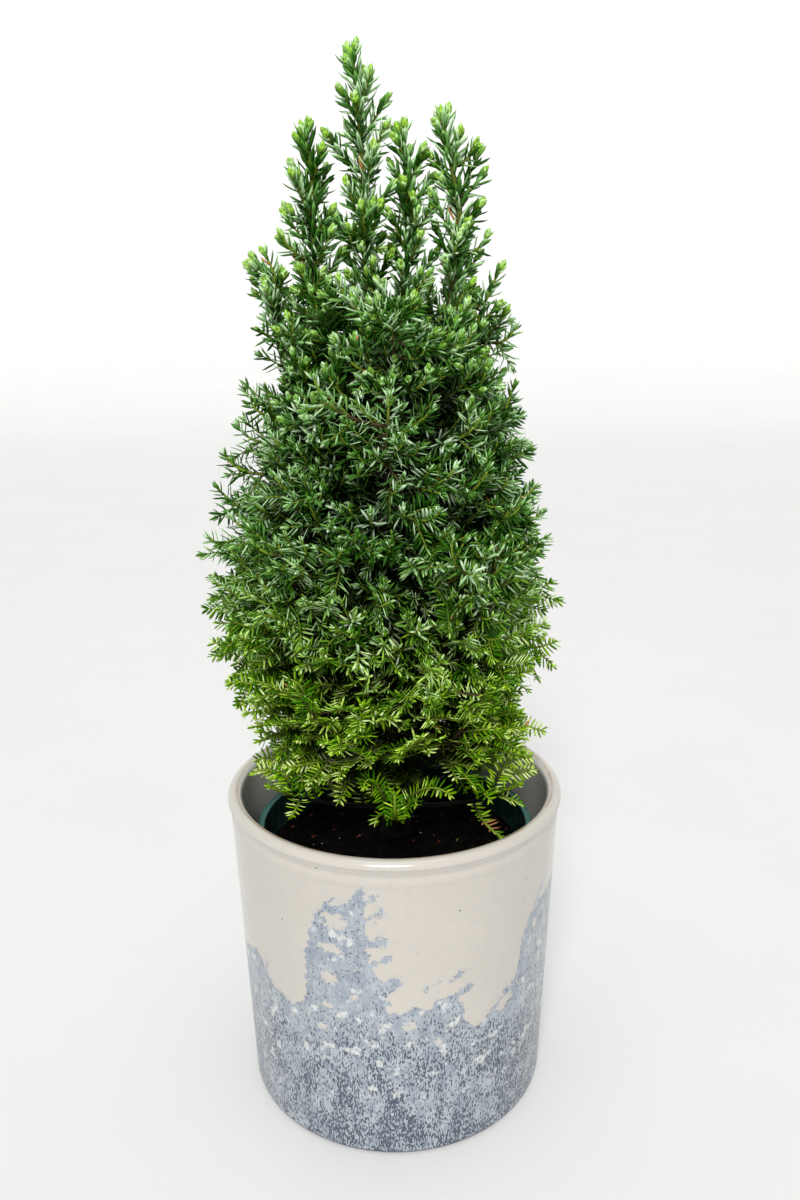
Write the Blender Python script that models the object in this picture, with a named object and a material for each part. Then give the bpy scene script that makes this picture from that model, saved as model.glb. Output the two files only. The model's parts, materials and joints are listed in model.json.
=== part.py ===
"""Tabletop conifer growing in a nursery pot that stands inside a glazed cover pot.

Metres, +Z up. The origin is the middle of the cover pot's foot, on the surface it stands on.
The tree is a trunk with whorls of limbs and four upright leaders. Each limb is a woody stem
and a closed solid for its spray of foliage, with a bore along it for the stem.
"""
import math

import bmesh
import bpy
from mathutils import Vector

MM = 0.001
GAP = 0.35 * MM                    # clearance between neighbouring solids

# Cover pot
POT_HEIGHT = 128.8 * MM
POT_RIM_RADIUS = 67.5 * MM
POT_LIP_RADIUS = 2.9 * MM          # radius of the rolled lip's section
POT_BODY_TOP_RADIUS = 66.4 * MM
POT_BASE_RADIUS = 61.4 * MM
POT_EDGE_RADIUS = 2.0 * MM         # rounding of the bottom edge
POT_GROOVE_DROP = 6.4 * MM         # groove under the rolled lip, below the rim
POT_GROOVE_DEPTH = 0.5 * MM
POT_FLOOR = 7.0 * MM
POT_BORE_BOTTOM_RADIUS = 57.0 * MM
POT_FOOT_INNER_RADIUS = 51.0 * MM
POT_FOOT_RECESS = 1.5 * MM
POT_SEGMENTS = 48

# Grow pot
GROW_RIM_Z = 111.0 * MM
GROW_RIM_RADIUS = 56.5 * MM
GROW_LIP_HEIGHT = 2.2 * MM
GROW_WALL = 1.1 * MM
GROW_COLLAR_RADIUS = 54.9 * MM
GROW_COLLAR_Z = 95.0 * MM          # the wider collar starts here
GROW_COLLAR_STEP = 1.6 * MM
GROW_BASE_RADIUS = 43.5 * MM
GROW_FOOT_HEIGHT = 2.0 * MM
GROW_HOLE_RADIUS = 3.6 * MM
GROW_HOLE_RING_RADIUS = 30.0 * MM
GROW_HOLES = 8
GROW_SEGMENTS = 40

# Potting mix and roots
SOIL_EDGE_Z = 98.5 * MM
SOIL_CROWN_Z = 101.0 * MM
CROWN_TOP_Z = 104.0 * MM
ROOTS = 5
ROOT_REACH = 34.0 * MM
ROOT_DEPTH = 52.0 * MM

# Trunk
TRUNK_BASE_Z = CROWN_TOP_Z + GAP
TRUNK_TOP_Z = 285.0 * MM
TREE_TOP_Z = 399.0 * MM
TRUNK_BASE_RADIUS = 4.7 * MM
TRUNK_TOP_RADIUS = 1.8 * MM
TRUNK_LEAN = -14.0 * MM            # how far the tip stands to the left of the base
TRUNK_SEGMENTS = 10

# Limbs: whorl name, count, height on trunk, first azimuth (degrees from +X, anticlockwise
# seen from above), tip reach, tip height, launch angle above level, foliage radius
WHORLS = (
    ("skirt_limb", 6, 117 * MM, 30, 60 * MM, 142 * MM, 12, 12.0 * MM),
    ("lower_limb", 5, 133 * MM, 18, 59 * MM, 188 * MM, 30, 19.0 * MM),
    ("middle_limb", 4, 161 * MM, 45, 56 * MM, 238 * MM, 42, 21.0 * MM),
    ("upper_limb", 4, 196 * MM, 0, 46 * MM, 288 * MM, 52, 18.0 * MM),
    ("shoulder_limb", 2, 228 * MM, 10, 45 * MM, 328 * MM, 55, 12.0 * MM),
    ("crown_limb", 2, 236 * MM, 98, 35 * MM, 330 * MM, 58, 13.0 * MM),
)
UPRIGHT_WHORLS = ("shoulder_limb",)   # whorls that stand in one plane with the leaders
# Upright leaders: name, height on trunk, azimuth of the union, tip
LEADERS = (
    ("left_leader", 252 * MM, 175, (-29 * MM, 2 * MM, 375 * MM)),
    ("middle_leader", 264 * MM, 15, (6 * MM, 2 * MM, 373 * MM)),
    ("right_leader", 243 * MM, -15, (21.5 * MM, -2 * MM, 377 * MM)),
)
LEADER_FOLIAGE_RADIUS = 9.0 * MM
LIMB_BASE_RADIUS = 1.7 * MM
LIMB_TIP_RADIUS = 0.6 * MM
LIMB_RINGS = 8                     # rings along a stem
LIMB_SIDES = 6
FOLIAGE_MIN_RADIUS = 2.8 * MM
FOLIAGE_TIP = 4.0 * MM             # foliage past the stem's tip
FOLIAGE_LIMIT = 66.0 * MM          # foliage solids stay inside the pot rim's square
SAMPLES = 40                       # points on a centreline when distances are taken

# Room left for the pieces that move
SKIRT_SWAY = math.radians(6)       # skirt limbs swing sideways about their unions
LEADER_BEND = math.radians(8)      # leaders bend fore and aft about their unions
LEADER_BAND = 14 * MM              # height band in which leaders are kept apart sideways
POT_CLEARANCE = 1.5 * MM           # foliage over the pots

COLOURS = {
    "cream_glaze": ((0.73, 0.70, 0.63), 0.25),
    "nursery_plastic": ((0.01, 0.05, 0.045), 0.5),
    "potting_mix": ((0.02, 0.013, 0.009), 0.95),
    "root": ((0.16, 0.09, 0.05), 0.85),
    "bark": ((0.11, 0.065, 0.035), 0.85),
    "twig": ((0.14, 0.16, 0.04), 0.7),
    "foliage": ((0.05, 0.16, 0.04), 0.6),
}


def clear_scene():
    for existing in list(bpy.data.objects):
        bpy.data.objects.remove(existing)


def make_materials():
    made = {}
    for name, (colour, roughness) in COLOURS.items():
        material = bpy.data.materials.new(name)
        material.use_nodes = True
        shader = material.node_tree.nodes["Principled BSDF"]
        shader.inputs["Base Color"].default_value = (*colour, 1.0)
        shader.inputs["Roughness"].default_value = roughness
        shader.inputs["Metallic"].default_value = 0.0
        made[name] = material
    return made


def place(name, vertices, faces, material, smooth_angle=40):
    """A named object from points and faces in world space, with its normals outward."""
    mesh = bpy.data.meshes.new(name)
    mesh.from_pydata([tuple(v) for v in vertices], [], faces)
    work = bmesh.new()
    work.from_mesh(mesh)
    bmesh.ops.recalc_face_normals(work, faces=work.faces)
    work.to_mesh(mesh)
    work.free()
    mesh.shade_smooth()
    mesh.set_sharp_from_angle(angle=math.radians(smooth_angle))
    mesh.materials.append(material)
    thing = bpy.data.objects.new(name, mesh)
    bpy.context.scene.collection.objects.link(thing)
    return thing


def set_origin(thing, point):
    """Moves the object's origin to a point without moving its shape."""
    point = Vector(point)
    for vertex in thing.data.vertices:
        vertex.co -= point
    thing.location = point


def turned(name, profile, segments, material):
    """A solid of revolution about Z from a profile of (radius, height) that starts and ends on the axis."""
    vertices, rings = [], []
    for radius, height in profile:
        if radius < 1e-9:
            rings.append([len(vertices)] * segments)
            vertices.append((0.0, 0.0, height))
            continue
        rings.append(list(range(len(vertices), len(vertices) + segments)))
        for i in range(segments):
            turn = 2 * math.pi * i / segments
            vertices.append((radius * math.cos(turn), radius * math.sin(turn), height))
    faces = []
    for low, high in zip(rings, rings[1:]):
        for i in range(segments):
            j = (i + 1) % segments
            corners = []
            for corner in (low[i], low[j], high[j], high[i]):
                if corner not in corners:
                    corners.append(corner)
            faces.append(corners)
    return place(name, vertices, faces, material)


def arc(centre, radius, start, end, steps):
    """Points of a round corner in a profile, angles in degrees from the radial direction."""
    points = []
    for i in range(steps + 1):
        angle = math.radians(start + (end - start) * i / steps)
        points.append((centre[0] + radius * math.cos(angle), centre[1] + radius * math.sin(angle)))
    return points


def pot_wall_radius(z):
    """Outside radius of the cover pot's plain wall at a height."""
    share = z / (POT_HEIGHT - POT_GROOVE_DROP)
    return POT_BASE_RADIUS + (POT_BODY_TOP_RADIUS - POT_BASE_RADIUS) * share


def make_cover_pot(materials):
    lip = (POT_RIM_RADIUS - POT_LIP_RADIUS, POT_HEIGHT - POT_LIP_RADIUS)
    edge = (pot_wall_radius(POT_EDGE_RADIUS) - POT_EDGE_RADIUS, POT_EDGE_RADIUS)
    groove_z = POT_HEIGHT - POT_GROOVE_DROP
    profile = [(0.0, POT_FOOT_RECESS), (POT_FOOT_INNER_RADIUS, POT_FOOT_RECESS)]
    profile += [(POT_FOOT_INNER_RADIUS + 1.2 * MM, 0.0)]
    profile += arc(edge, POT_EDGE_RADIUS, -90, 0, 3)
    profile += [(pot_wall_radius(groove_z / 2), groove_z / 2)]
    profile += [(POT_BODY_TOP_RADIUS, groove_z - 2 * MM)]
    profile += [(POT_BODY_TOP_RADIUS - POT_GROOVE_DEPTH, groove_z)]
    profile += arc(lip, POT_LIP_RADIUS, -20, 180, 7)
    profile += [(POT_BORE_BOTTOM_RADIUS, POT_FLOOR + 3 * MM)]
    profile += [(POT_BORE_BOTTOM_RADIUS - 3 * MM, POT_FLOOR), (0.0, POT_FLOOR)]
    return turned("cover_pot", profile, POT_SEGMENTS, materials["cream_glaze"])


def grow_wall_radius(z):
    """Outside radius of the grow pot's wall at a height, without its lip."""
    base_z = POT_FLOOR + GAP
    if z >= GROW_COLLAR_Z:
        return GROW_COLLAR_RADIUS
    below_collar = GROW_COLLAR_RADIUS - GROW_COLLAR_STEP
    share = (z - base_z) / (GROW_COLLAR_Z - base_z)
    return GROW_BASE_RADIUS + (below_collar - GROW_BASE_RADIUS) * share


def make_grow_pot(materials):
    base = POT_FLOOR + GAP
    floor = base + GROW_FOOT_HEIGHT
    foot_inner = GROW_BASE_RADIUS - 4 * MM
    step_top = GROW_COLLAR_Z + 1.5 * MM
    lip_bottom = GROW_RIM_Z - GROW_LIP_HEIGHT
    profile = [(0.0, floor), (foot_inner - 1.5 * MM, floor), (foot_inner, base)]
    profile += [(GROW_BASE_RADIUS, base), (grow_wall_radius(GROW_COLLAR_Z - 1e-6), GROW_COLLAR_Z)]
    profile += [(GROW_COLLAR_RADIUS, step_top), (GROW_COLLAR_RADIUS, lip_bottom)]
    profile += [(GROW_RIM_RADIUS, lip_bottom + 0.3 * MM), (GROW_RIM_RADIUS, GROW_RIM_Z - 0.5 * MM)]
    profile += [(GROW_RIM_RADIUS - 0.5 * MM, GROW_RIM_Z), (GROW_COLLAR_RADIUS - GROW_WALL, GROW_RIM_Z)]
    profile += [(GROW_COLLAR_RADIUS - GROW_WALL, step_top)]
    profile += [(grow_wall_radius(GROW_COLLAR_Z - 1e-6) - GROW_WALL, GROW_COLLAR_Z)]
    profile += [(grow_wall_radius(floor + GROW_WALL) - GROW_WALL, floor + GROW_WALL)]
    profile += [(0.0, floor + GROW_WALL)]
    pot = turned("grow_pot", profile, GROW_SEGMENTS, materials["nursery_plastic"])
    for i in range(GROW_HOLES):
        turn = 2 * math.pi * (i + 0.5) / GROW_HOLES
        centre = (GROW_HOLE_RING_RADIUS * math.cos(turn), GROW_HOLE_RING_RADIUS * math.sin(turn), floor)
        bpy.ops.mesh.primitive_cylinder_add(
            vertices=10, radius=GROW_HOLE_RADIUS, depth=8 * MM, location=centre)
        cutter = bpy.context.active_object
        cut_from(pot, cutter, f"drain_hole_cutter_{i + 1}")
    return pot


def cut_from(target, cutter, name):
    """Cuts the cutter's shape out of the target with a Boolean, and leaves the cutter as a guide."""
    cutter.name = name
    cutter.hide_render = True
    cutter.display_type = "WIRE"
    modifier = target.modifiers.new(name, "BOOLEAN")
    modifier.operation = "DIFFERENCE"
    modifier.object = cutter


def trunk_axis(z):
    """The middle of the trunk, and of the main leader above it, at a height."""
    share = max(0.0, (z - TRUNK_BASE_Z) / (TREE_TOP_Z - TRUNK_BASE_Z))
    sway = 1.5 * MM * math.sin(3.5 * math.pi * share)
    return Vector((TRUNK_LEAN * share**1.4 + sway * (1 - share), 0.8 * sway * (1 - share), z))


def trunk_radius(z):
    share = (z - TRUNK_BASE_Z) / (TRUNK_TOP_Z - TRUNK_BASE_Z)
    return TRUNK_BASE_RADIUS + (TRUNK_TOP_RADIUS - TRUNK_BASE_RADIUS) * share


def ring_around(centre, along, side, radius, sides):
    """Points of a ring round a centreline."""
    along = along.normalized()
    across = (side - side.dot(along) * along).normalized()
    third = along.cross(across)
    points = []
    for i in range(sides):
        turn = 2 * math.pi * i / sides
        points.append(centre + radius * (math.cos(turn) * across + math.sin(turn) * third))
    return points


def skin(rings, end_tip=None, start_cap=True):
    """Vertices and faces of a surface through rings. It ends in a point or a flat cap."""
    sides = len(rings[0])
    vertices = [p for ring in rings for p in ring]
    faces = []
    for r in range(len(rings) - 1):
        for i in range(sides):
            j = (i + 1) % sides
            faces.append((r * sides + i, r * sides + j, (r + 1) * sides + j, (r + 1) * sides + i))
    last = (len(rings) - 1) * sides
    if start_cap:
        faces.append(tuple(range(sides)))
    if end_tip is None:
        faces.append(tuple(range(last, last + sides)))
        return vertices, faces
    vertices.append(end_tip)
    for i in range(sides):
        faces.append((last + i, last + (i + 1) % sides, len(vertices) - 1))
    return vertices, faces


def make_trunk(materials):
    heights = [TRUNK_BASE_Z + (TRUNK_TOP_Z - TRUNK_BASE_Z) * i / 10 for i in range(11)]
    rings = []
    up, right = Vector((0, 0, 1)), Vector((1, 0, 0))
    for z in heights:
        rings.append(ring_around(trunk_axis(z), up, right, trunk_radius(z), TRUNK_SEGMENTS))
    vertices, faces = skin(rings)
    return place("trunk", vertices, faces, materials["bark"])


def root_solid(name, grown, materials):
    """The root crown and its taproot, with every radius grown by a clearance."""
    lift = 4 * MM if grown else 0.0
    bottom = SOIL_CROWN_Z - ROOT_DEPTH - grown
    profile = [(0.0, bottom), (1.6 * MM + grown, bottom)]
    profile += [(4.0 * MM + grown, SOIL_CROWN_Z - 24 * MM), (7.5 * MM + grown, SOIL_CROWN_Z - 8 * MM)]
    profile += [(6.8 * MM + grown, SOIL_CROWN_Z - 1 * MM), (5.2 * MM + grown, CROWN_TOP_Z + lift)]
    profile += [(0.0, CROWN_TOP_Z + lift)]
    return turned(name, profile, 14, materials["root"])


def lateral_root(name, index, grown, materials):
    """One side root: it leaves the crown, runs out and dips."""
    azimuth = 2 * math.pi * (index + 0.2) / ROOTS
    outward = Vector((math.cos(azimuth), math.sin(azimuth), 0))
    side = Vector((-outward.y, outward.x, 0))
    rings = []
    steps = 4
    for i in range(steps + 1):
        share = i / steps
        centre = outward * (2.5 * MM + ROOT_REACH * share)
        centre.z = SOIL_CROWN_Z - (11 + 3 * (index % 2)) * MM - 20 * MM * share**1.6
        along = outward * ROOT_REACH - Vector((0, 0, 32 * MM * max(share, 0.01) ** 0.6))
        rings.append(ring_around(centre, along, side, (2.4 - 1.7 * share) * MM + grown, 7))
    tip = rings[-1][0].lerp(rings[-1][3], 0.5) + along.normalized() * (1.5 * MM + grown)
    vertices, faces = skin(rings, end_tip=tip)
    return place(name, vertices, faces, materials["root"])


def make_roots(materials):
    crown = root_solid("root_system", 0.0, materials)
    for i in range(ROOTS):
        side_root = lateral_root(f"side_root_guide_{i + 1}", i, 0.0, materials)
        cut_from(crown, side_root, f"side_root_guide_{i + 1}")
        crown.modifiers[-1].operation = "UNION"      # a side root is joined on, not cut out
    return crown


def make_potting_mix(materials):
    bottom = POT_FLOOR + GAP + GROW_FOOT_HEIGHT + GROW_WALL + GAP
    inner = [(grow_wall_radius(z) - GROW_WALL - GAP, z) for z in (bottom, GROW_COLLAR_Z - 0.1 * MM)]
    profile = [(0.0, bottom), (inner[0][0] - 1 * MM, bottom), (inner[0][0], bottom + 1 * MM)]
    profile += [inner[1], (inner[1][0] - 0.8 * MM, SOIL_EDGE_Z)]
    profile += [(38 * MM, SOIL_EDGE_Z + 0.4 * MM), (20 * MM, SOIL_CROWN_Z - 0.6 * MM), (0.0, SOIL_CROWN_Z)]
    soil = turned("potting_mix", profile, GROW_SEGMENTS, materials["potting_mix"])
    cut_from(soil, root_solid("crown_cutter", GAP, materials), "crown_cutter")
    for i in range(ROOTS):
        cutter_name = f"side_root_cutter_{i + 1}"
        cut_from(soil, lateral_root(cutter_name, i, GAP, materials), cutter_name)
    return soil


def curve_point(start, middle, end, share):
    """A point on the smooth curve that leaves start towards middle and arrives at end."""
    return start.lerp(middle, share).lerp(middle.lerp(end, share), share)


def curve_direction(start, middle, end, share):
    return (middle - start).lerp(end - middle, share)


class Limb:
    """One limb or leader: its centreline, its union with the trunk and the room it needs to move."""

    def __init__(self, name, start, middle, end, outward, foliage_radius,
                 sway=0.0, bend=0.0, upright=False):
        self.name = name
        self.curve = (start, middle, end)
        self.outward = outward
        self.foliage_radius = foliage_radius
        self.sway = sway
        self.bend = bend
        self.upright = upright
        self.samples = [curve_point(*self.curve, i / SAMPLES) for i in range(SAMPLES + 1)]

    def at(self, share):
        return curve_point(*self.curve, share)

    def along(self, share):
        """Direction of the ring at a share of the length: the first ring lies against the trunk."""
        if share == 0:
            return self.outward
        return curve_direction(*self.curve, share).normalized()

    def side(self):
        level = Vector((-self.outward.y, self.outward.x, 0))
        return level.normalized() if level.length > 0.1 else Vector((0, 1, 0))

    def stem_radius(self, share):
        return LIMB_BASE_RADIUS + (LIMB_TIP_RADIUS - LIMB_BASE_RADIUS) * share

    def travel(self, point):
        """How far a point of this limb moves, each way, as the limb sways or bends."""
        arm = point - self.curve[0]
        sideways = 0.5 * math.sin(self.sway) * math.hypot(arm.x, arm.y)
        return sideways + math.sin(self.bend) * math.hypot(arm.y, arm.z)

    def ring(self, share, radius):
        return ring_around(self.at(share), self.along(share), self.side(), radius, LIMB_SIDES)


def make_limbs():
    """Every limb's centreline, from the whorls and the leaders."""
    limbs = []
    for name, count, z, first, reach, tip_z, launch, foliage_radius in WHORLS:
        for i in range(count):
            azimuth = math.radians(first + 360 * i / count)
            outward = Vector((math.cos(azimuth), math.sin(azimuth), 0))
            start = trunk_axis(z) + outward * (trunk_radius(z) + GAP)
            end = Vector((outward.x * reach, outward.y * reach, tip_z))
            length = (end - start).length
            rise = math.radians(launch)
            middle = start + length * 0.5 * (math.cos(rise) * outward + math.sin(rise) * Vector((0, 0, 1)))
            limbs.append(Limb(f"{name}_{i + 1}", start, middle, end, outward, foliage_radius,
                              sway=SKIRT_SWAY if name == "skirt_limb" else 0.0,
                              upright=name in UPRIGHT_WHORLS))
    for name, z, azimuth, tip in LEADERS:
        outward = Vector((math.cos(math.radians(azimuth)), math.sin(math.radians(azimuth)), 0))
        start = trunk_axis(z) + outward * (trunk_radius(z) + GAP)
        end = Vector(tip)
        middle = Vector((end.x, end.y, z + 26 * MM))
        limbs.append(Limb(name, start, middle, end, outward, LEADER_FOLIAGE_RADIUS,
                          bend=LEADER_BEND, upright=True))
    base = trunk_axis(TRUNK_TOP_Z) + Vector((0, 0, 0.5 * MM))
    top = trunk_axis(TREE_TOP_Z - FOLIAGE_TIP)
    limbs.append(Limb("main_leader", base, base.lerp(top, 0.5), top, Vector((0, 0, 1)),
                      LEADER_FOLIAGE_RADIUS, bend=LEADER_BEND, upright=True))
    return limbs


def room_at(point, own, limbs):
    """The largest foliage radius at a point that leaves every neighbour its half of the space."""
    room = own.foliage_radius
    for other in limbs:
        if other is own:
            continue
        for sample in other.samples:
            if own.upright and other.upright:
                if abs(sample.z - point.z) < LEADER_BAND:
                    room = min(room, 0.5 * abs(sample.x - point.x) - GAP)
            else:
                moving = max(own.travel(point), other.travel(sample))
                room = min(room, 0.5 * ((sample - point).length - moving) - GAP)
    room = min(room, FOLIAGE_LIMIT - abs(point.x), FOLIAGE_LIMIT - abs(point.y))
    if point.z < TRUNK_TOP_Z:
        room = min(room, (point - trunk_axis(point.z)).length - trunk_radius(point.z) - GAP)
    across = math.hypot(point.x, point.y)
    rim = math.hypot(across - POT_RIM_RADIUS + POT_LIP_RADIUS, point.z - POT_HEIGHT + POT_LIP_RADIUS)
    room = min(room, rim - POT_LIP_RADIUS - POT_CLEARANCE)
    if across < POT_RIM_RADIUS:
        room = min(room, point.z - GROW_RIM_Z - POT_CLEARANCE)
    return room


def make_stem(limb, materials):
    rings = []
    for i in range(LIMB_RINGS):
        share = i / (LIMB_RINGS - 1)
        rings.append(limb.ring(share, limb.stem_radius(share)))
    vertices, faces = skin(rings)
    stem = place(f"{limb.name}_stem", vertices, faces, materials["twig"])
    set_origin(stem, limb.curve[0])
    return stem


def make_foliage(limb, limbs, materials):
    """A closed spindle round the stem. Its bore follows the stem from the first ring to past the tip."""
    outer, bore = [], []
    for i in range(1, LIMB_RINGS):
        share = i / (LIMB_RINGS - 1)
        swell = min(1.0, 0.35 + 1.6 * share) * (1.0 - 0.55 * max(0.0, share - 0.6) / 0.4)
        radius = min(limb.foliage_radius * swell, room_at(limb.at(share), limb, limbs))
        if radius < FOLIAGE_MIN_RADIUS:
            if outer:
                raise ValueError(f"{limb.name} has no room for foliage at ring {i}: {radius / MM:.1f} mm")
            continue
        outer.append(limb.ring(share, radius))
        bore.append(limb.ring(share, limb.stem_radius(share) + GAP))
    along = limb.along(1.0)
    end = limb.at(1.0)
    bore.append(ring_around(end + along * 2 * GAP, along, limb.side(), LIMB_TIP_RADIUS + GAP, LIMB_SIDES))
    vertices, faces = skin(outer, end_tip=end + along * FOLIAGE_TIP, start_cap=False)
    bore_vertices, bore_faces = skin(bore, start_cap=False)
    offset = len(vertices)
    vertices += bore_vertices
    faces += [tuple(v + offset for v in face) for face in bore_faces]
    for i in range(LIMB_SIDES):
        j = (i + 1) % LIMB_SIDES
        faces.append((i, j, offset + j, offset + i))
    foliage = place(f"{limb.name}_foliage", vertices, faces, materials["foliage"])
    set_origin(foliage, limb.curve[0])
    return foliage


def main():
    clear_scene()
    materials = make_materials()
    make_cover_pot(materials)
    make_grow_pot(materials)
    make_potting_mix(materials)
    make_roots(materials)
    make_trunk(materials)
    limbs = make_limbs()
    for limb in limbs:
        make_stem(limb, materials)
        make_foliage(limb, limbs, materials)


main()
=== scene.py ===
"""Looks for the tabletop conifer in its nursery pot and glazed cover pot.

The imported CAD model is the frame. Every limb's stem is read from its CAD node; twigs and needles
are grown from it until they fill the crown. Millimetres are written as numbers times MM.
"""

import json
import math

import bpy
import numpy as np
from mathutils import Euler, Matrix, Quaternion


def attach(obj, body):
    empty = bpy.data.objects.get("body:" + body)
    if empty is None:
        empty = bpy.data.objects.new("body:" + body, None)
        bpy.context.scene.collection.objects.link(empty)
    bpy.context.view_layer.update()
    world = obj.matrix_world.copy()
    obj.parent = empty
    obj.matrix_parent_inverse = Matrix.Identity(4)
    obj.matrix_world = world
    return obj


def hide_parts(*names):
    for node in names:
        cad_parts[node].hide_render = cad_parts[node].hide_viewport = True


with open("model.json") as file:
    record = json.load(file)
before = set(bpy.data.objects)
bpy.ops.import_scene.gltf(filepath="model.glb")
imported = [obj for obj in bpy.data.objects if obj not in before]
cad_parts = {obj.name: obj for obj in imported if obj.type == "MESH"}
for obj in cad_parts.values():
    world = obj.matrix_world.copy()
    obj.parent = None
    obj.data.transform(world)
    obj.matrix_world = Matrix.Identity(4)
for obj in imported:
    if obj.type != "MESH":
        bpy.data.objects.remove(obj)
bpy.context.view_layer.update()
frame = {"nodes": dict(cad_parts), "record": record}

MM = 0.001
RNG = np.random.default_rng(17)
UP = np.array([0.0, 0.0, 1.0])
GOLDEN_ANGLE = 2.399963     # radians between one shoot and the next round a stem
NONE_DEAD = (2.0, 2.0)      # from which share of a twig's length to which its needles are brown
ALL_DEAD = (0.0, 1.0)

# Crown outline: height, reach to the left (-X), reach to the right (+X), reach to front and back
CROWN = np.array([
    (124, 22, 22, 12), (132, 40, 42, 22), (140, 52, 52, 34), (150, 59, 56, 46), (160, 63, 58, 53),
    (175, 65, 58, 57), (195, 68, 61, 60), (215, 68, 60, 60), (228, 68, 59, 60), (245, 62, 56, 57),
    (262, 54, 52, 54), (280, 48, 47, 49), (297, 40, 43, 44), (315, 39, 37, 38), (335, 38, 33, 30),
    (348, 32, 30, 24), (362, 24, 26, 18), (385, 16, 20, 14), (398, 12, 12, 8),
], float) * MM

# Shoots that stand out of the outline: x, y, z of each tip
ACCENT_TIPS = np.array([
    (-70, 0, 230), (-70, 8, 205), (-70, -3, 189), (-61, -6, 262), (-63, 4, 161), (-55, -6, 140),
    (-51, -3, 281), (-54, 2, 285), (-57, 2, 272), (-66, -14, 216), (-64, 10, 176), (57, 2, 238),
    (62, 4, 210), (63, -4, 188), (60, -2, 150), (54, -10, 142), (45, 2, 281), (53, -5, 249),
    (52, 10, 172), (45, -2, 306), (51, 0, 263), (-66, 2, 249), (-70, 2, 214),
]) * MM

# Upright shoots between and beside the leaders: x, y, z of each tip
UPRIGHT_TIPS = np.array([
    (33, -3, 358), (31, 3, 347), (34, -6, 337), (40, 0, 327), (42, 2, 312), (30, -3, 367),
    (-31, 0, 358), (-36, 3, 348), (-37, -6, 338), (-48, 0, 331), (-43, -9, 332), (-45, 5, 326),
    (10, -6, 345), (-9, -12, 346), (-28, 9, 342), (24, -11, 336), (-30, -15, 326), (10, 15, 343),
    (28, 13, 332), (-18, 16, 345), (-16, -30, 322), (8, -32, 316), (26, -26, 314), (-34, -22, 310),
    (-7, -20, 324), (14, -18, 321), (-14, 32, 322), (14, 34, 316), (-32, 26, 312), (32, 24, 310),
    (0, 46, 282), (-24, 44, 270), (26, 46, 262),
]) * MM

# Long upright shoots on the front whose yellow-green stems show between sparse needles
BARE_TIPS = np.array([(-24, -48, 292), (20, -57, 240)]) * MM

# Sprigs that droop over the potting mix: x, y, z of each tip
DROOPING_TIPS = np.array([
    (-39, -30, 128), (-11, -43, 146), (-7, -32, 126), (8, -38, 136), (21, -36, 139), (41, -30, 118),
    (49, -22, 128), (29, -40, 145), (-56, -12, 137), (-46, -20, 140), (-24, 38, 132), (8, 40, 134),
    (38, 30, 130), (-44, 24, 134), (52, 14, 136), (36, -34, 136),
]) * MM
BROWN_SPRIG = 5                    # the drooping sprig whose middle has died back

# How far each leader's line lies from its CAD stem at heights in mm, and how much of its tip is cut
LEADER_LEAN = {
    "main": ((300, 340, 352, 386, 400), (0.0, 3.4, 5.2, 5.4, 0.4), 2.0),
    "left": ((310, 345, 365, 378), (0.0, 1.6, 2.0, 0.0), 5.5),
    "middle": ((310, 340, 362, 376), (0.0, 1.6, 2.0, -2.0), 4.0),
    "right": ((300, 325, 350, 378), (0.0, 4.0, 4.4, -2.4), 4.2),
}


# ---------------------------------------------------------------- small vector helpers

def reseed(number):
    """Start the random numbers afresh, so that a change to one twig leaves the others alone."""
    global RNG
    RNG = np.random.default_rng(number)


def unit(v):
    v = np.asarray(v, float)
    return v / np.maximum(np.linalg.norm(v, axis=-1, keepdims=True), 1e-12)


def square_to(along, wanted):
    """The part of wanted that is square to along, as a unit vector."""
    along = unit(along)
    flat = wanted - np.sum(wanted * along, axis=-1, keepdims=True) * along
    return unit(flat)


def swing(way, towards, angle):
    """A direction turned through an angle towards another one that is square to it."""
    angle = np.asarray(angle)[..., None]
    return way * np.cos(angle) + towards * np.sin(angle)


def bezier(a, b, c, share):
    share = np.asarray(share, float)[:, None]
    return a * (1 - share) ** 2 + 2 * b * share * (1 - share) + c * share**2


def path_length(points):
    return float(np.linalg.norm(np.diff(points, axis=0), axis=1).sum())


def travelled(points):
    """How far along the path each of its points lies."""
    return np.concatenate([[0], np.cumsum(np.linalg.norm(np.diff(points, axis=0), axis=1))])


def crown_reach(z, azimuth):
    """Distance from the axis to the crown's outline at a height and azimuth."""
    left, right, depth = (np.interp(z, CROWN[:, 0], CROWN[:, k]) for k in (1, 2, 3))
    c, s = np.cos(azimuth), np.sin(azimuth)
    side = np.where(c < 0, left, right)
    return 1 / np.sqrt((c / side) ** 2 + (s / depth) ** 2)


def crown_depth(points):
    """0 at the crown's surface, 1 well inside it, and 0 among the leaders."""
    reach = crown_reach(points[:, 2], np.arctan2(points[:, 1], points[:, 0]))
    depth = np.clip((1 - np.hypot(points[:, 0], points[:, 1]) / reach - 0.12) / 0.26, 0, 1)
    return depth * np.clip((340 * MM - points[:, 2]) / (60 * MM), 0, 1)


# ---------------------------------------------------------------- meshes

def in_scene(name, data):
    thing = bpy.data.objects.new(name, data)
    bpy.context.scene.collection.objects.link(thing)
    return thing


def new_piece(name, vertices, faces, material, smooth=True):
    mesh = bpy.data.meshes.new(name)
    mesh.from_pydata(vertices, [], faces)
    mesh.materials.append(material)
    if smooth:
        mesh.shade_smooth()
    mesh.update()
    return in_scene(name, mesh)


def ring_quads(rings, around):
    """Four-sided faces between rings of points, each ring listed after the one before it."""
    ids = np.arange(rings * around).reshape(rings, around)
    low, high = ids[:-1], ids[1:]
    return np.stack([low, np.roll(low, -1, 1), np.roll(high, -1, 1), high], -1).reshape(-1, 4).tolist()


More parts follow.
